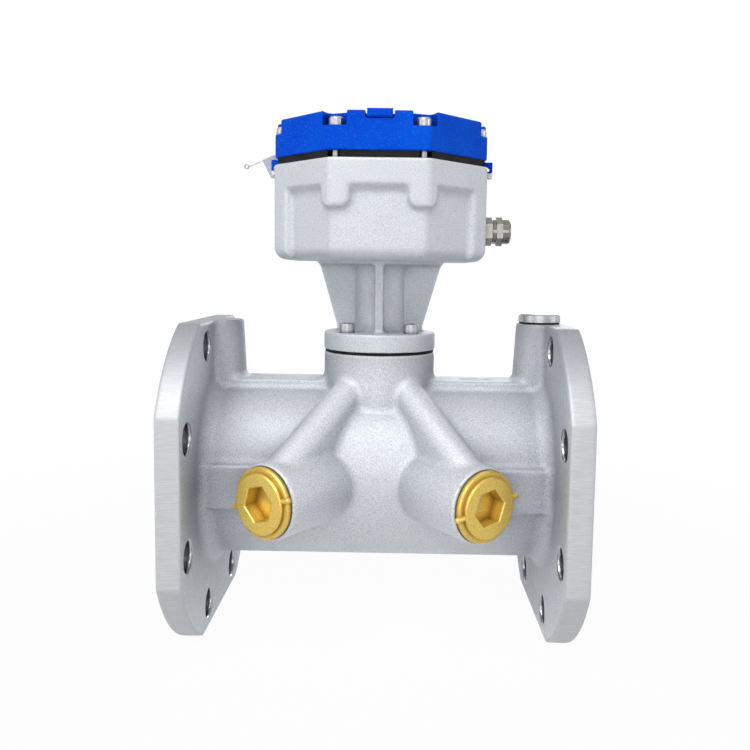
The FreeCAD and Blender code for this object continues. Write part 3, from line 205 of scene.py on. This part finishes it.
# %% Lamps
LAMP_AIM = (0.0, 0.0, 0.15)
SOFT_BOXES = {  # name: place, size in metres, power in watts
    "key_box": ((-0.30, -0.95, 1.30), 0.90, 16.2),
    "front_box": ((0.00, -1.35, 0.15), 0.90, 4.3),
    "left_box": ((-1.10, -0.60, 0.36), 0.50, 2.0),
    "right_box": ((1.20, -0.35, 0.42), 0.45, 2.4),
    "back_box": ((0.30, 1.30, 0.50), 0.80, 7.0),
}


def soft_box(name, place, size, power):
    """Square lamp that faces the middle of the meter."""
    bpy.ops.object.light_add(type="AREA", location=place)
    lamp = bpy.context.object
    lamp.name = name
    lamp.data.size = size
    lamp.data.energy = power
    away = [p - a for p, a in zip(place, LAMP_AIM)]
    level = math.hypot(away[0], away[1])
    lamp.rotation_euler = (math.atan2(level, away[2]), 0.0, math.atan2(away[0], -away[1]))


for name, (place, size, power) in SOFT_BOXES.items():
    soft_box(name, place, size, power)

# %% [markdown]
# ## Tools for the finishes
# Every finish is a node tree on the piece's own coordinates, so a pattern has its true size in
# metres and stays put when a piece moves. Colours are written as swatches from 0 to 255. A shader
# counts light itself, which is a different scale, so each swatch is converted first.

# %% Swatches and finishes


def tone(red, green, blue):
    """Colour of a swatch, given as 0 to 255, in the linear numbers that a shader uses."""
    share = [c / 255 for c in (red, green, blue)]
    return [c / 12.92 if c <= 0.04045 else ((c + 0.055) / 1.055) ** 2.4 for c in share] + [1.0]


def new_finish(name, metallic=0.0, specular=0.5):
    """An empty finish, with the parts of it that a recipe works on."""
    finish = bpy.data.materials.new(name)
    finish.use_nodes = True
    tree = finish.node_tree
    shader = tree.nodes["Principled BSDF"]
    shader.inputs["Metallic"].default_value = metallic
    shader.inputs["Specular IOR Level"].default_value = specular
    place = tree.nodes.new("ShaderNodeTexCoord").outputs["Object"]
    return finish, tree, shader, place


def wear(finish, piece):
    """Give a piece one finish all over."""
    piece.data.materials.clear()
    piece.data.materials.append(finish)


print("a middle grey in a shader's numbers:", [round(c, 3) for c in tone(128, 128, 128)])

# %% [markdown]
# ## Patterns
# A real surface is never one colour. Three more helpers make a noise at a given grain size, mix
# two colours by it, and raise the surface by it. A last one measures how open a point lies, which
# tells corners and edges from open ground.

# %% Pattern nodes
RAYS = 8


def grain(tree, place, size, detail=2.0, stretch=(1.0, 1.0, 1.0)):
    """Noise whose blotches are about size metres wide, drawn out along an axis by stretch."""
    spread = tree.nodes.new("ShaderNodeMapping")
    spread.inputs["Scale"].default_value = [1.0 / (size * s) for s in stretch]
    tree.links.new(place, spread.inputs["Vector"])
    noise = tree.nodes.new("ShaderNodeTexNoise")
    noise.inputs["Scale"].default_value = 1.0
    noise.inputs["Detail"].default_value = detail
    tree.links.new(spread.outputs[0], noise.inputs["Vector"])
    return noise.outputs["Fac"]


def blend(tree, share, first, second):
    """Mix of two colours by a share from 0 to 1."""
    node = tree.nodes.new("ShaderNodeMix")
    node.data_type = "RGBA"
    tree.links.new(share, node.inputs["Factor"])
    feed(tree, node.inputs[6], first)
    feed(tree, node.inputs[7], second)
    return node.outputs[2]


def relief(tree, shader, height, depth, strength=1.0):
    """Bump the surface by a height from 0 to 1 that stands for depth metres."""
    node = tree.nodes.new("ShaderNodeBump")
    node.inputs["Distance"].default_value = depth
    node.inputs["Strength"].default_value = strength
    tree.links.new(height, node.inputs["Height"])
    tree.links.new(node.outputs[0], shader.inputs["Normal"])


def openness(tree, reach, inside=False, alone=True):
    """Share of directions, out of the surface or into it, in which nothing is nearer than reach."""
    node = tree.nodes.new("ShaderNodeAmbientOcclusion")
    node.samples = RAYS
    node.only_local = alone
    node.inside = inside
    node.inputs["Distance"].default_value = reach
    return node.outputs["AO"]


print("pattern nodes:", [helper.__name__ for helper in (grain, blend, relief, openness)])

# %% [markdown]
# ## Blasted castings
# The body and the housing are castings, blasted with fine shot: a pale grey that glitters in
# single grains. The grains are one fine noise that moves the colour, the roughness and the surface
# together. Corners and recesses get a painted shade, and the outer edges a painted highlight:
# both are mixed in by how open a point lies.

# %% Blasted surface
# Tones of the painted shade in corners and recesses.
PAINTED_SHADE_TONES = (tone(118, 120, 129), tone(170, 172, 180))
# Tone of the painted highlight along the outer edges.
EDGE_HIGHLIGHT_TONE = tone(240, 242, 245)
EDGE_REACH = 2.0 * MM
EDGE_SHARE = 0.8
EDGE_SPAN = (0.50, 0.90)
OPEN_SPAN = (0.40, 0.95)
CAST_GRAIN = 0.6 * MM
CAST_DETAIL = 3.0
CAST_PATCH = 30.0 * MM
PATCH_ROUGHNESS = (0.52, 0.62)
GRAIN_ROUGHNESS = (-0.06, 0.06)


def cast_surface(tree, place, tones, reach):
    """Colour, roughness and grain of a casting, its painted shade tone and where it lies open;
    outer edges get a painted highlight.
    """
    fine = grain(tree, place, CAST_GRAIN, CAST_DETAIL)
    speck = span(tree, fine, 0.0, 1.0)
    painted_shade = blend(tree, speck, *PAINTED_SHADE_TONES)
    # Painted shade: corners and recesses take the darker tones where little lies open round them.
    free = span(tree, openness(tree, reach), 0.0, 1.0, *OPEN_SPAN)
    colour = blend(tree, free, painted_shade, blend(tree, speck, *tones))
    # Painted highlight along the outer edges, found by looking into the surface.
    edge_highlight = span(tree, openness(tree, EDGE_REACH, inside=True), EDGE_SHARE, 0.0, *EDGE_SPAN)
    colour = blend(tree, edge_highlight, colour, EDGE_HIGHLIGHT_TONE)
    patches = span(tree, grain(tree, place, CAST_PATCH), *PATCH_ROUGHNESS)
    rough = calc(tree, "ADD", patches, span(tree, fine, *GRAIN_ROUGHNESS))
    return colour, rough, fine, painted_shade, free


print("casting: grains of", CAST_GRAIN, "metres in patches of", CAST_PATCH)

# %% [markdown]
# ## Machined flanges
# The flanges were machined after casting. A lathe leaves rings on the sealing faces, and a drill
# leaves bright walls in the eight bolt holes. No piece has to be cut apart for that: the distance
# and the angle of a point about the bore tell where it lies, and masks of noughts and ones pick
# the finish there.

# %% Marks of the machines
BORE_Z = 98.5 * MM
HOLE_CIRCLE = 90.0 * MM
HOLE_EDGE = 9.8 * MM
HALF_STEP = math.radians(22.5)
GROOVE_PITCH = 1.2 * MM
GROOVE_SPAN = (0.2, 0.8)


def where(tree, mask, outside, within):
    """One number outside a mask of noughts and ones, and another within it."""
    left = calc(tree, "MULTIPLY", outside, calc(tree, "SUBTRACT", 1.0, mask))
    return calc(tree, "ADD", left, calc(tree, "MULTIPLY", within, mask))


def length_of(tree, a, b):
    """Long side of a right-angled triangle with the sides a and b."""
    squares = calc(tree, "ADD", calc(tree, "POWER", a, 2.0), calc(tree, "POWER", b, 2.0))
    return calc(tree, "SQRT", squares)


def turned_rings(tree, radius):
    """Waves round the bore, as a lathe leaves them on the sealing faces."""
    turns = calc(tree, "MULTIPLY", radius, math.tau / GROOVE_PITCH)
    return span(tree, calc(tree, "SINE", turns), *GROOVE_SPAN, -1.0, 1.0)


def bolt_holes(tree, radius, angle):
    """1 within the eight drilled holes round the bore, else 0."""
    turn = calc(tree, "SUBTRACT", HALF_STEP, calc(tree, "PINGPONG", angle, HALF_STEP))
    across = calc(tree, "MULTIPLY", radius, calc(tree, "SINE", turn))
    outwards = calc(tree, "MULTIPLY", radius, calc(tree, "COSINE", turn))
    along = calc(tree, "SUBTRACT", outwards, HOLE_CIRCLE)
    return calc(tree, "LESS_THAN", length_of(tree, across, along), HOLE_EDGE)


print("holes:", round(math.pi / HALF_STEP), "on a circle of", 2 * HOLE_CIRCLE, "metres")

# %% [markdown]
# ## The body's finish
# The body's finish puts these together: blasted skin between the flanges, fine cutter lines on the
# rims, rings on the sealing faces and shiny walls in the holes. Towards the tops of the neck, the
# posts and the flanges the colour is painted darker, as painted shade, and the machined rims get
# the same painted shade in their corners as the casting.

# %% Body finish
BODY_TONES = (tone(184, 187, 193), tone(241, 244, 248))
MACHINED_TONES = (tone(188, 189, 193), tone(205, 206, 209))
# Tones of the painted shade towards the tops of the body.
UPPER_SHADE_TONES = (tone(142, 144, 150), tone(174, 176, 182))
DRILLED_TONE = tone(168, 169, 173)
# Reach of the painted shade: wide, so the faces between the flanges darken too.
BODY_REACH = 75.0 * MM
BODY_RELIEF = 0.16 * MM
CAST_METAL = 0.32
CAST_SPECULAR = 0.3
MACHINED_ROUGHNESS = 0.52
DRILLED_ROUGHNESS = 0.20
CUTTER_LINE = 0.4 * MM
CUTTER_STRETCH = (22.0, 1.0, 1.0)
CUTTER_DEPTH = 0.12
FLANGE_INNER_X = 107.2 * MM
SEALING_X = 124.5 * MM
# Heights between which the painted shade towards the top fades in.
UPPER_SHADE_START_Z = 160.0 * MM
UPPER_SHADE_END_Z = 196.6 * MM


def body_casting():
    finish, tree, shader, place = new_finish("cast_silver", specular=CAST_SPECULAR)
    colour, rough, fine, painted_shade, free = cast_surface(tree, place, BODY_TONES, BODY_REACH)
    split = tree.nodes.new("ShaderNodeSeparateXYZ")
    tree.links.new(place, split.inputs[0])
    axes = split.outputs
    rise = calc(tree, "SUBTRACT", axes["Z"], BORE_Z)
    radius = length_of(tree, axes["Y"], rise)
    sideways = calc(tree, "ABSOLUTE", axes["X"])
    machined = calc(tree, "GREATER_THAN", sideways, FLANGE_INNER_X)
    sealing = calc(tree, "GREATER_THAN", sideways, SEALING_X)
    holes = bolt_holes(tree, radius, calc(tree, "ARCTAN2", rise, axes["Y"]))
    drilled = calc(tree, "MULTIPLY", holes, machined)
    # Painted shade: a share that grows towards the tops of the neck, the posts and the flanges.
    upper = span(tree, axes["Z"], 0.0, 1.0, UPPER_SHADE_START_Z, UPPER_SHADE_END_Z)

    lines = grain(tree, place, CUTTER_LINE, stretch=CUTTER_STRETCH)
    cut = where(tree, sealing, lines, turned_rings(tree, radius))
    bright = blend(tree, span(tree, cut, 0.0, 1.0), *MACHINED_TONES)
    # The machined rims get the same painted shade in their corners.
    colour = blend(tree, machined, colour, blend(tree, free, painted_shade, bright))
    # Painted shade towards the top, mixed in by height.
    upper_shade = blend(tree, span(tree, fine, 0.0, 1.0), *UPPER_SHADE_TONES)
    colour = blend(tree, upper, colour, upper_shade)
    rough = where(tree, machined, rough, MACHINED_ROUGHNESS)
    height = where(tree, machined, fine, calc(tree, "MULTIPLY", cut, CUTTER_DEPTH))

    feed(tree, shader.inputs["Base Color"], blend(tree, drilled, colour, DRILLED_TONE))
    feed(tree, shader.inputs["Metallic"], where(tree, drilled, CAST_METAL, 1.0))
    feed(tree, shader.inputs["Roughness"], where(tree, drilled, rough, DRILLED_ROUGHNESS))
    relief(tree, shader, height, BODY_RELIEF)
    return finish


cast_silver = body_casting()
print("finish:", cast_silver.name, "with", len(cast_silver.node_tree.nodes), "nodes")

# %% [markdown]
# ## The housing's finish
# The housing is a die casting with a smoother, slightly darker skin, and nothing on it is
# machined. Its corners are small, so the painted shade keeps close to them, and its outer edges
# get the same painted highlight as the body.

# %% Housing finish
HOUSING_TONES = (tone(181, 184, 191), tone(221, 224, 229))
# Reach of the painted shade in the housing's corners.
HOUSING_REACH = 5.0 * MM
HOUSING_RELIEF = 0.14 * MM
HOUSING_METAL = 0.30


def housing_casting():
    finish, tree, shader, place = new_finish("housing_silver", HOUSING_METAL, CAST_SPECULAR)
    colour, rough, fine = cast_surface(tree, place, HOUSING_TONES, HOUSING_REACH)[:3]
    feed(tree, shader.inputs["Base Color"], colour)
    feed(tree, shader.inputs["Roughness"], rough)
    relief(tree, shader, fine, HOUSING_RELIEF)
    return finish


housing_silver = housing_casting()
print("finish:", housing_silver.name, "with", len(housing_silver.node_tree.nodes), "nodes")

# %% [markdown]
# ## Blue coat
# The cover and its flip lid are powder coated in a strong blue with a hammered skin: soft dimples
# one or two millimetres wide that break the highlights into flecks. The crests of the skin get a
# painted highlight, and the screw pockets a painted shade.

# %% Blue finish
BLUE_DEEP = tone(0, 68, 204)
BLUE_LIGHT = tone(0, 84, 218)
# Tone of the painted highlight on the crests of the hammered skin.
BLUE_CREST_HIGHLIGHT = tone(8, 118, 238)
# Tone of the painted shade in the screw pockets.
BLUE_POCKET_SHADE = tone(0, 30, 118)
BLUE_SPECULAR = 0.04
BLUE_ROUGHNESS = (0.28, 0.42)
BLUE_CLOUD = 40.0 * MM
DIMPLE = 0.9 * MM
DIMPLE_STRETCH = (2.0, 2.0, 1.0)
FINE_SHARE = 0.6
CREST_SHARE = 0.45
CREST_SPAN = (0.86, 1.02)
POCKET_REACH = 12.0 * MM
POCKET_SPAN = (0.35, 0.90)
BLUE_RELIEF = 0.35 * MM
BLUE_RELIEF_STRENGTH = 0.8


def blue_coat():
    finish, tree, shader, place = new_finish("blue_coat", specular=BLUE_SPECULAR)
    dimples = grain(tree, place, DIMPLE, stretch=DIMPLE_STRETCH)
    fine = grain(tree, place, DIMPLE)
    clouds = span(tree, grain(tree, place, BLUE_CLOUD, 1.0), 0.0, 1.0)
    height = calc(tree, "ADD", dimples, calc(tree, "MULTIPLY", fine, FINE_SHARE))
    # Painted highlight on the crests, where the hammered skin stands highest.
    crest_highlight = span(tree, height, 0.0, CREST_SHARE, *CREST_SPAN)
    # Painted shade where the cover lies less open, as in its screw pockets.
    free = span(tree, openness(tree, POCKET_REACH), 0.0, 1.0, *POCKET_SPAN)
    colour = blend(tree, crest_highlight, blend(tree, clouds, BLUE_DEEP, BLUE_LIGHT), BLUE_CREST_HIGHLIGHT)
    feed(tree, shader.inputs["Base Color"], blend(tree, free, BLUE_POCKET_SHADE, colour))
    feed(tree, shader.inputs["Roughness"], span(tree, fine, *BLUE_ROUGHNESS))
    relief(tree, shader, height, BLUE_RELIEF, BLUE_RELIEF_STRENGTH)
    return finish


cover_blue = blue_coat()
print("finish:", cover_blue.name, "with", len(cover_blue.node_tree.nodes), "nodes")

# %% [markdown]
# ## Small metals, rubber and plastics
# The rest are plainer finishes that share one recipe: two near tones mixed by a fine noise, a
# roughness that wanders a little, and a shallow relief. The metals also get a painted shade in
# their sockets and grooves and where other pieces lie near. A table of words and numbers sets each
# one apart.

# %% Plain finishes
DRIFT = 12


def plain_finish(name, dark, light, metallic, rough, size, depth, gloss=0.5, shade_tone=None, reach=0.0):
    """A finish from two swatches, with size, depth and reach in millimetres."""
    finish, tree, shader, place = new_finish(name, metallic, gloss)
    speck = grain(tree, place, size * MM)
    drift = grain(tree, place, DRIFT * size * MM, 1.0)
    colour = blend(tree, span(tree, speck, 0.0, 1.0), tone(*dark), tone(*light))
    # Painted shade in sockets and grooves, where this piece or a neighbour lies near.
    if shade_tone:
        free = span(tree, openness(tree, reach * MM, alone=False), 0.0, 1.0, *OPEN_SPAN)
        colour = blend(tree, free, tone(*shade_tone), colour)
    feed(tree, shader.inputs["Base Color"], colour)
    feed(tree, shader.inputs["Roughness"], span(tree, drift, *rough))
    relief(tree, shader, speck, depth * MM)
    return finish


# The ninth column is the tone of the painted shade in sockets and grooves, the tenth its reach in
# millimetres.
PLAIN_FINISHES = (  # name, dark, light, metallic, roughness, size, depth, gloss, grime, reach
    ("turned_brass", (208, 176, 76), (234, 204, 110), 0.5, (0.30, 0.42), 0.8, 0.06,
     0.5, (176, 138, 56), 5.0),
    ("bright_steel", (152, 153, 157), (194, 195, 199), 0.85, (0.30, 0.42), 0.6, 0.03,
     0.5, (70, 71, 75), 3.0),
    ("nickel_plate", (118, 116, 112), (136, 134, 129), 0.95, (0.12, 0.20), 0.7, 0.02,
     0.5, (52, 50, 47), 6.0),
    ("washer_fibre", (92, 82, 62), (116, 104, 80), 0.0, (0.60, 0.75), 0.6, 0.03, 0.2),
    ("black_rubber", (10, 10, 11), (24, 24, 26), 0.0, (0.50, 0.66), 0.7, 0.05, 0.15),
    ("black_plastic", (20, 20, 22), (36, 36, 38), 0.0, (0.36, 0.48), 0.6, 0.03),
    ("sensor_plastic", (58, 54, 50), (74, 70, 66), 0.0, (0.40, 0.52), 0.6, 0.03),
    ("lead_jacket", (34, 34, 36), (52, 52, 54), 0.0, (0.32, 0.42), 0.6, 0.02),
    ("solder_mask", (10, 84, 46), (18, 106, 60), 0.0, (0.28, 0.40), 1.2, 0.03),
    ("battery_wrap", (34, 118, 72), (48, 140, 88), 0.0, (0.24, 0.34), 2.0, 0.02),
    ("terminal_green", (40, 130, 62), (54, 150, 76), 0.0, (0.40, 0.50), 0.6, 0.02),
    ("tinned_can", (178, 178, 180), (206, 206, 208), 0.8, (0.26, 0.38), 1.0, 0.03),
    ("seal_wire_steel", (150, 150, 152), (190, 190, 192), 0.8, (0.30, 0.42), 0.4, 0.02),
    ("tag_plastic", (168, 169, 176), (192, 193, 199), 0.0, (0.34, 0.44), 1.0, 0.02),
    ("display_panel", (150, 162, 138), (162, 173, 148), 0.0, (0.18, 0.26), 1.6, 0.01),
    ("display_ink", (22, 26, 24), (36, 40, 38), 0.0, (0.30, 0.40), 0.6, 0.01),
)
finishes = {row[0]: plain_finish(*row) for row in PLAIN_FINISHES}
print("plain finishes:", list(finishes))

# %% [markdown]
# ## Clear window
# The window over the display is a clear plastic plate. Light passes through it, bent a little, and
# a faint haze of wiping marks keeps it from looking like a hole.

# %% Window finish
WINDOW_INDEX = 1.49
WINDOW_HAZE = 6.0 * MM
WINDOW_ROUGHNESS = (0.02, 0.07)
WINDOW_TINTS = ((0.93, 0.97, 0.96, 1.0), (0.98, 1.0, 0.99, 1.0))


def window_finish():
    finish, tree, shader, place = new_finish("clear_window")
    shader.inputs["Transmission Weight"].default_value = 1.0
    shader.inputs["IOR"].default_value = WINDOW_INDEX
    haze = grain(tree, place, WINDOW_HAZE)
    tint = blend(tree, span(tree, haze, 0.0, 1.0), *WINDOW_TINTS)
    feed(tree, shader.inputs["Base Color"], tint)
    feed(tree, shader.inputs["Roughness"], span(tree, haze, *WINDOW_ROUGHNESS))
    return finish


finishes.update(cast_silver=cast_silver, housing_silver=housing_silver, blue_coat=cover_blue,
                clear_window=window_finish())
print("finishes made:", len(finishes))

# %% [markdown]
# ## Every solid gets its finish
# The names of the solids say what they are, so a short table gives each finish its solids. The
# four corners of the body hold the same five pieces.

# %% Finish table
WORN_BY = {
    "cast_silver": ["meter_body"],
    "housing_silver": ["housing_base"],
    "blue_coat": ["top_cover", "flip_cover"],
    "turned_brass": ["display_spacers"],
    "bright_steel": ["port_plug", "stem_screws", "cover_screws", "board_screws", "hinge_pin"],
    "nickel_plate": ["gland_body", "gland_cap", "gland_locknut"],
    "washer_fibre": [],
    "black_rubber": ["neck_gasket", "housing_gasket", "port_plug_seal", "window_seal",
                     "gland_o_ring", "gland_insert"],
    "black_plastic": ["gland_claw", "battery_holder", "antenna"],
    "sensor_plastic": [],
    "lead_jacket": ["transducer_leads"],
    "solder_mask": ["display_board", "main_board"],
    "battery_wrap": ["battery"],
    "terminal_green": ["terminal_block"],
    "tinned_can": ["radio_module"],
    "seal_wire_steel": ["seal_wire"],
    "tag_plastic": ["seal_tag"],
    "display_panel": ["display_glass"],
    "clear_window": ["window_glass"],
}
for corner in ("front_left", "front_right", "back_left", "back_right"):
    WORN_BY["sensor_plastic"].append("transducer_" + corner)
    WORN_BY["black_rubber"].append("transducer_ring_" + corner)
    WORN_BY["washer_fibre"].append("plug_washer_" + corner)
    WORN_BY["turned_brass"] += ["transducer_nut_" + corner, "transducer_plug_" + corner]
dressed = set()
for name, solids in WORN_BY.items():
    for solid in solids:
        wear(finishes[name], NODES[solid])
    dressed.update(solids)
print("solids with no finish:", sorted(set(NODES) - dressed))

# %% [markdown]
# ## Skins over the solids
# The solids are exact, with sharp corners, and theirs are the sizes that count. Where the real
# surface is softer, a copy of the solid is worked over and shown in its place. A solid's mesh is
# loose triangles, so the copy is merged first. The last steps are the same for each skin: thin it
# where flat faces have squares to spare, keep it inside the solid's own box, and set it in place.

# %% Steps of a skin
MERGE_DISTANCE = 1e-6


def copy_of(node, name):
    """A free copy of a solid's mesh with its loose triangles merged."""
    piece = bpy.data.objects.new(name, NODES[node].data.copy())
    bpy.context.scene.collection.objects.link(piece)
    bpy.ops.object.select_all(action="DESELECT")
    piece.select_set(True)
    bpy.context.view_layer.objects.active = piece
    bpy.ops.object.mode_set(mode="EDIT")
    bpy.ops.mesh.select_all(action="SELECT")
    bpy.ops.mesh.remove_doubles(threshold=MERGE_DISTANCE)
    bpy.ops.object.mode_set(mode="OBJECT")
    return piece


def change(piece, kind, **settings):
    """Add one modifier with its settings and apply it."""
    step = piece.modifiers.new(kind.lower(), kind)
    for name, value in settings.items():
        setattr(step, name, value)
    bpy.ops.object.modifier_apply(modifier=step.name)


def keep_inside(piece, low, high):
    """Press back any point that the remeshing left outside the solid's own box."""
    points = np.empty(3 * len(piece.data.vertices), np.float32)
    piece.data.vertices.foreach_get("co", points)
    points = np.clip(points.reshape(-1, 3), np.array(low), np.array(high))
    piece.data.vertices.foreach_set("co", points.astype(np.float32).ravel())
    piece.data.update()


def set_in_place(piece, node, triangles, finish):
    """Thin a skin, dress it and let it stand for its solid."""
    count = 2 * len(piece.data.polygons)
    if count > triangles:
        change(piece, "DECIMATE", ratio=triangles / count)
    keep_inside(piece, *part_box(node))
    bpy.ops.object.shade_smooth()
    wear(finish, piece)
    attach(piece, "meter")
    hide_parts(node)
    print(piece.name, "has", len(piece.data.polygons), "faces")


print("solids that get a skin: meter_body, housing_base, top_cover")

# %% [markdown]
# ## The casting's rounded roots
# Molten metal rounds every inner corner. Drawing a fillet along each of the crossing ribs would be
# slow, so the whole skin is grown outwards by the fillet's radius and shrunk back by the same
# amount. Flat and bulging parts return to where they were, while each inner corner keeps the round
# that a ball of that radius leaves. Remeshing first gives the even little squares that this needs.

# %% Cast skins
EASE = 0.5
EASE_ROUNDS = 4


def cast_skin(node, name, cell, fillet, triangles, finish):
    piece = copy_of(node, name)
    squares = {"mode": "VOXEL", "voxel_size": cell, "use_smooth_shade": True}
    change(piece, "REMESH", **squares)
    change(piece, "DISPLACE", strength=fillet, mid_level=0.0)
    change(piece, "REMESH", **squares)
    change(piece, "SMOOTH", factor=EASE, iterations=EASE_ROUNDS)
    change(piece, "DISPLACE", strength=-fillet, mid_level=0.0)
    set_in_place(piece, node, triangles, finish)


cast_skin("meter_body", "cast_body", cell=1.1 * MM, fillet=2.6 * MM, triangles=190000,
          finish=cast_silver)
cast_skin("housing_base", "cast_housing", cell=0.8 * MM, fillet=1.2 * MM, triangles=150000,
          finish=housing_silver)

# %% [markdown]
# ## The cover's soft edges
# Thick paint and the mould leave no sharp edge on the cover: each corner of its screw pockets is
# round by about a millimetre. Remeshing the solid in half-millimetre squares and smoothing a few
# times gives that, since smoothing moves only the points along an edge and leaves flat faces flat.

# %% Cover skin


def soft_skin(node, name, cell, rounds, triangles, finish):
    piece = copy_of(node, name)
    change(piece, "REMESH", mode="VOXEL", voxel_size=cell, use_smooth_shade=True)
    change(piece, "SMOOTH", factor=EASE, iterations=rounds)
    set_in_place(piece, node, triangles, finish)


soft_skin("top_cover", "soft_cover", cell=0.5 * MM, rounds=5, triangles=110000,
          finish=cover_blue)

# %% [markdown]
# ## Digits on the display
# Under the lid a window shows a liquid crystal display. Its digits are six-sided bars, the same one
# for all the strokes, laid on the panel as a row of noughts. The bars are thin prisms: a six-sided
# cylinder pressed flat.

# %% Display digits
DIGIT_COUNT = 8
DIGIT_PITCH = 4.6 * MM
STROKE = 3.0 * MM
STROKE_WIDTH = 0.55 * MM
STROKE_HEIGHT = 0.06 * MM


def lay_stroke(x, y, z, upright):
    bpy.ops.mesh.primitive_cylinder_add(vertices=6, radius=0.5, depth=1.0, location=(x, y, z))
    bar = bpy.context.object
    wide, deep = (STROKE_WIDTH, STROKE) if upright else (STROKE, STROKE_WIDTH)
    bar.scale = (wide, deep, STROKE_HEIGHT)
    bpy.ops.object.transform_apply(location=True, rotation=False, scale=True)
    return bar


def lay_nought(x, y, z):
    """The six outer strokes of a digit, three below its middle and three above."""
    reach = STROKE / 2 + STROKE_WIDTH / 4
    bars = []
    for row in (-1, 1):
        bars.append(lay_stroke(x, y + 2 * row * reach, z, False))
        bars.append(lay_stroke(x - reach, y + row * reach, z, True))
        bars.append(lay_stroke(x + reach, y + row * reach, z, True))
    return bars


def lay_digits():
    low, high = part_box("display_glass")
    middle_x, middle_y = (low[0] + high[0]) / 2, (low[1] + high[1]) / 2
    bars = []
    for i in range(DIGIT_COUNT):
        x = middle_x + (i - (DIGIT_COUNT - 1) / 2) * DIGIT_PITCH
        bars += lay_nought(x, middle_y, high[2] + STROKE_HEIGHT / 2)
    bpy.ops.object.select_all(action="DESELECT")
    for bar in bars:
        bar.select_set(True)
    bpy.context.view_layer.objects.active = bars[0]
    bpy.ops.object.join()
    digits = bpy.context.object
    digits.name = "display_digits"
    bpy.context.scene.cursor.location = (0.0, 0.0, 0.0)
    bpy.ops.object.origin_set(type="ORIGIN_CURSOR")
    wear(finishes["display_ink"], digits)
    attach(digits, "meter")
    print("strokes:", len(bars), "origin:", list(digits.location))


bpy.ops.object.select_all(action="DESELECT")
lay_digits()
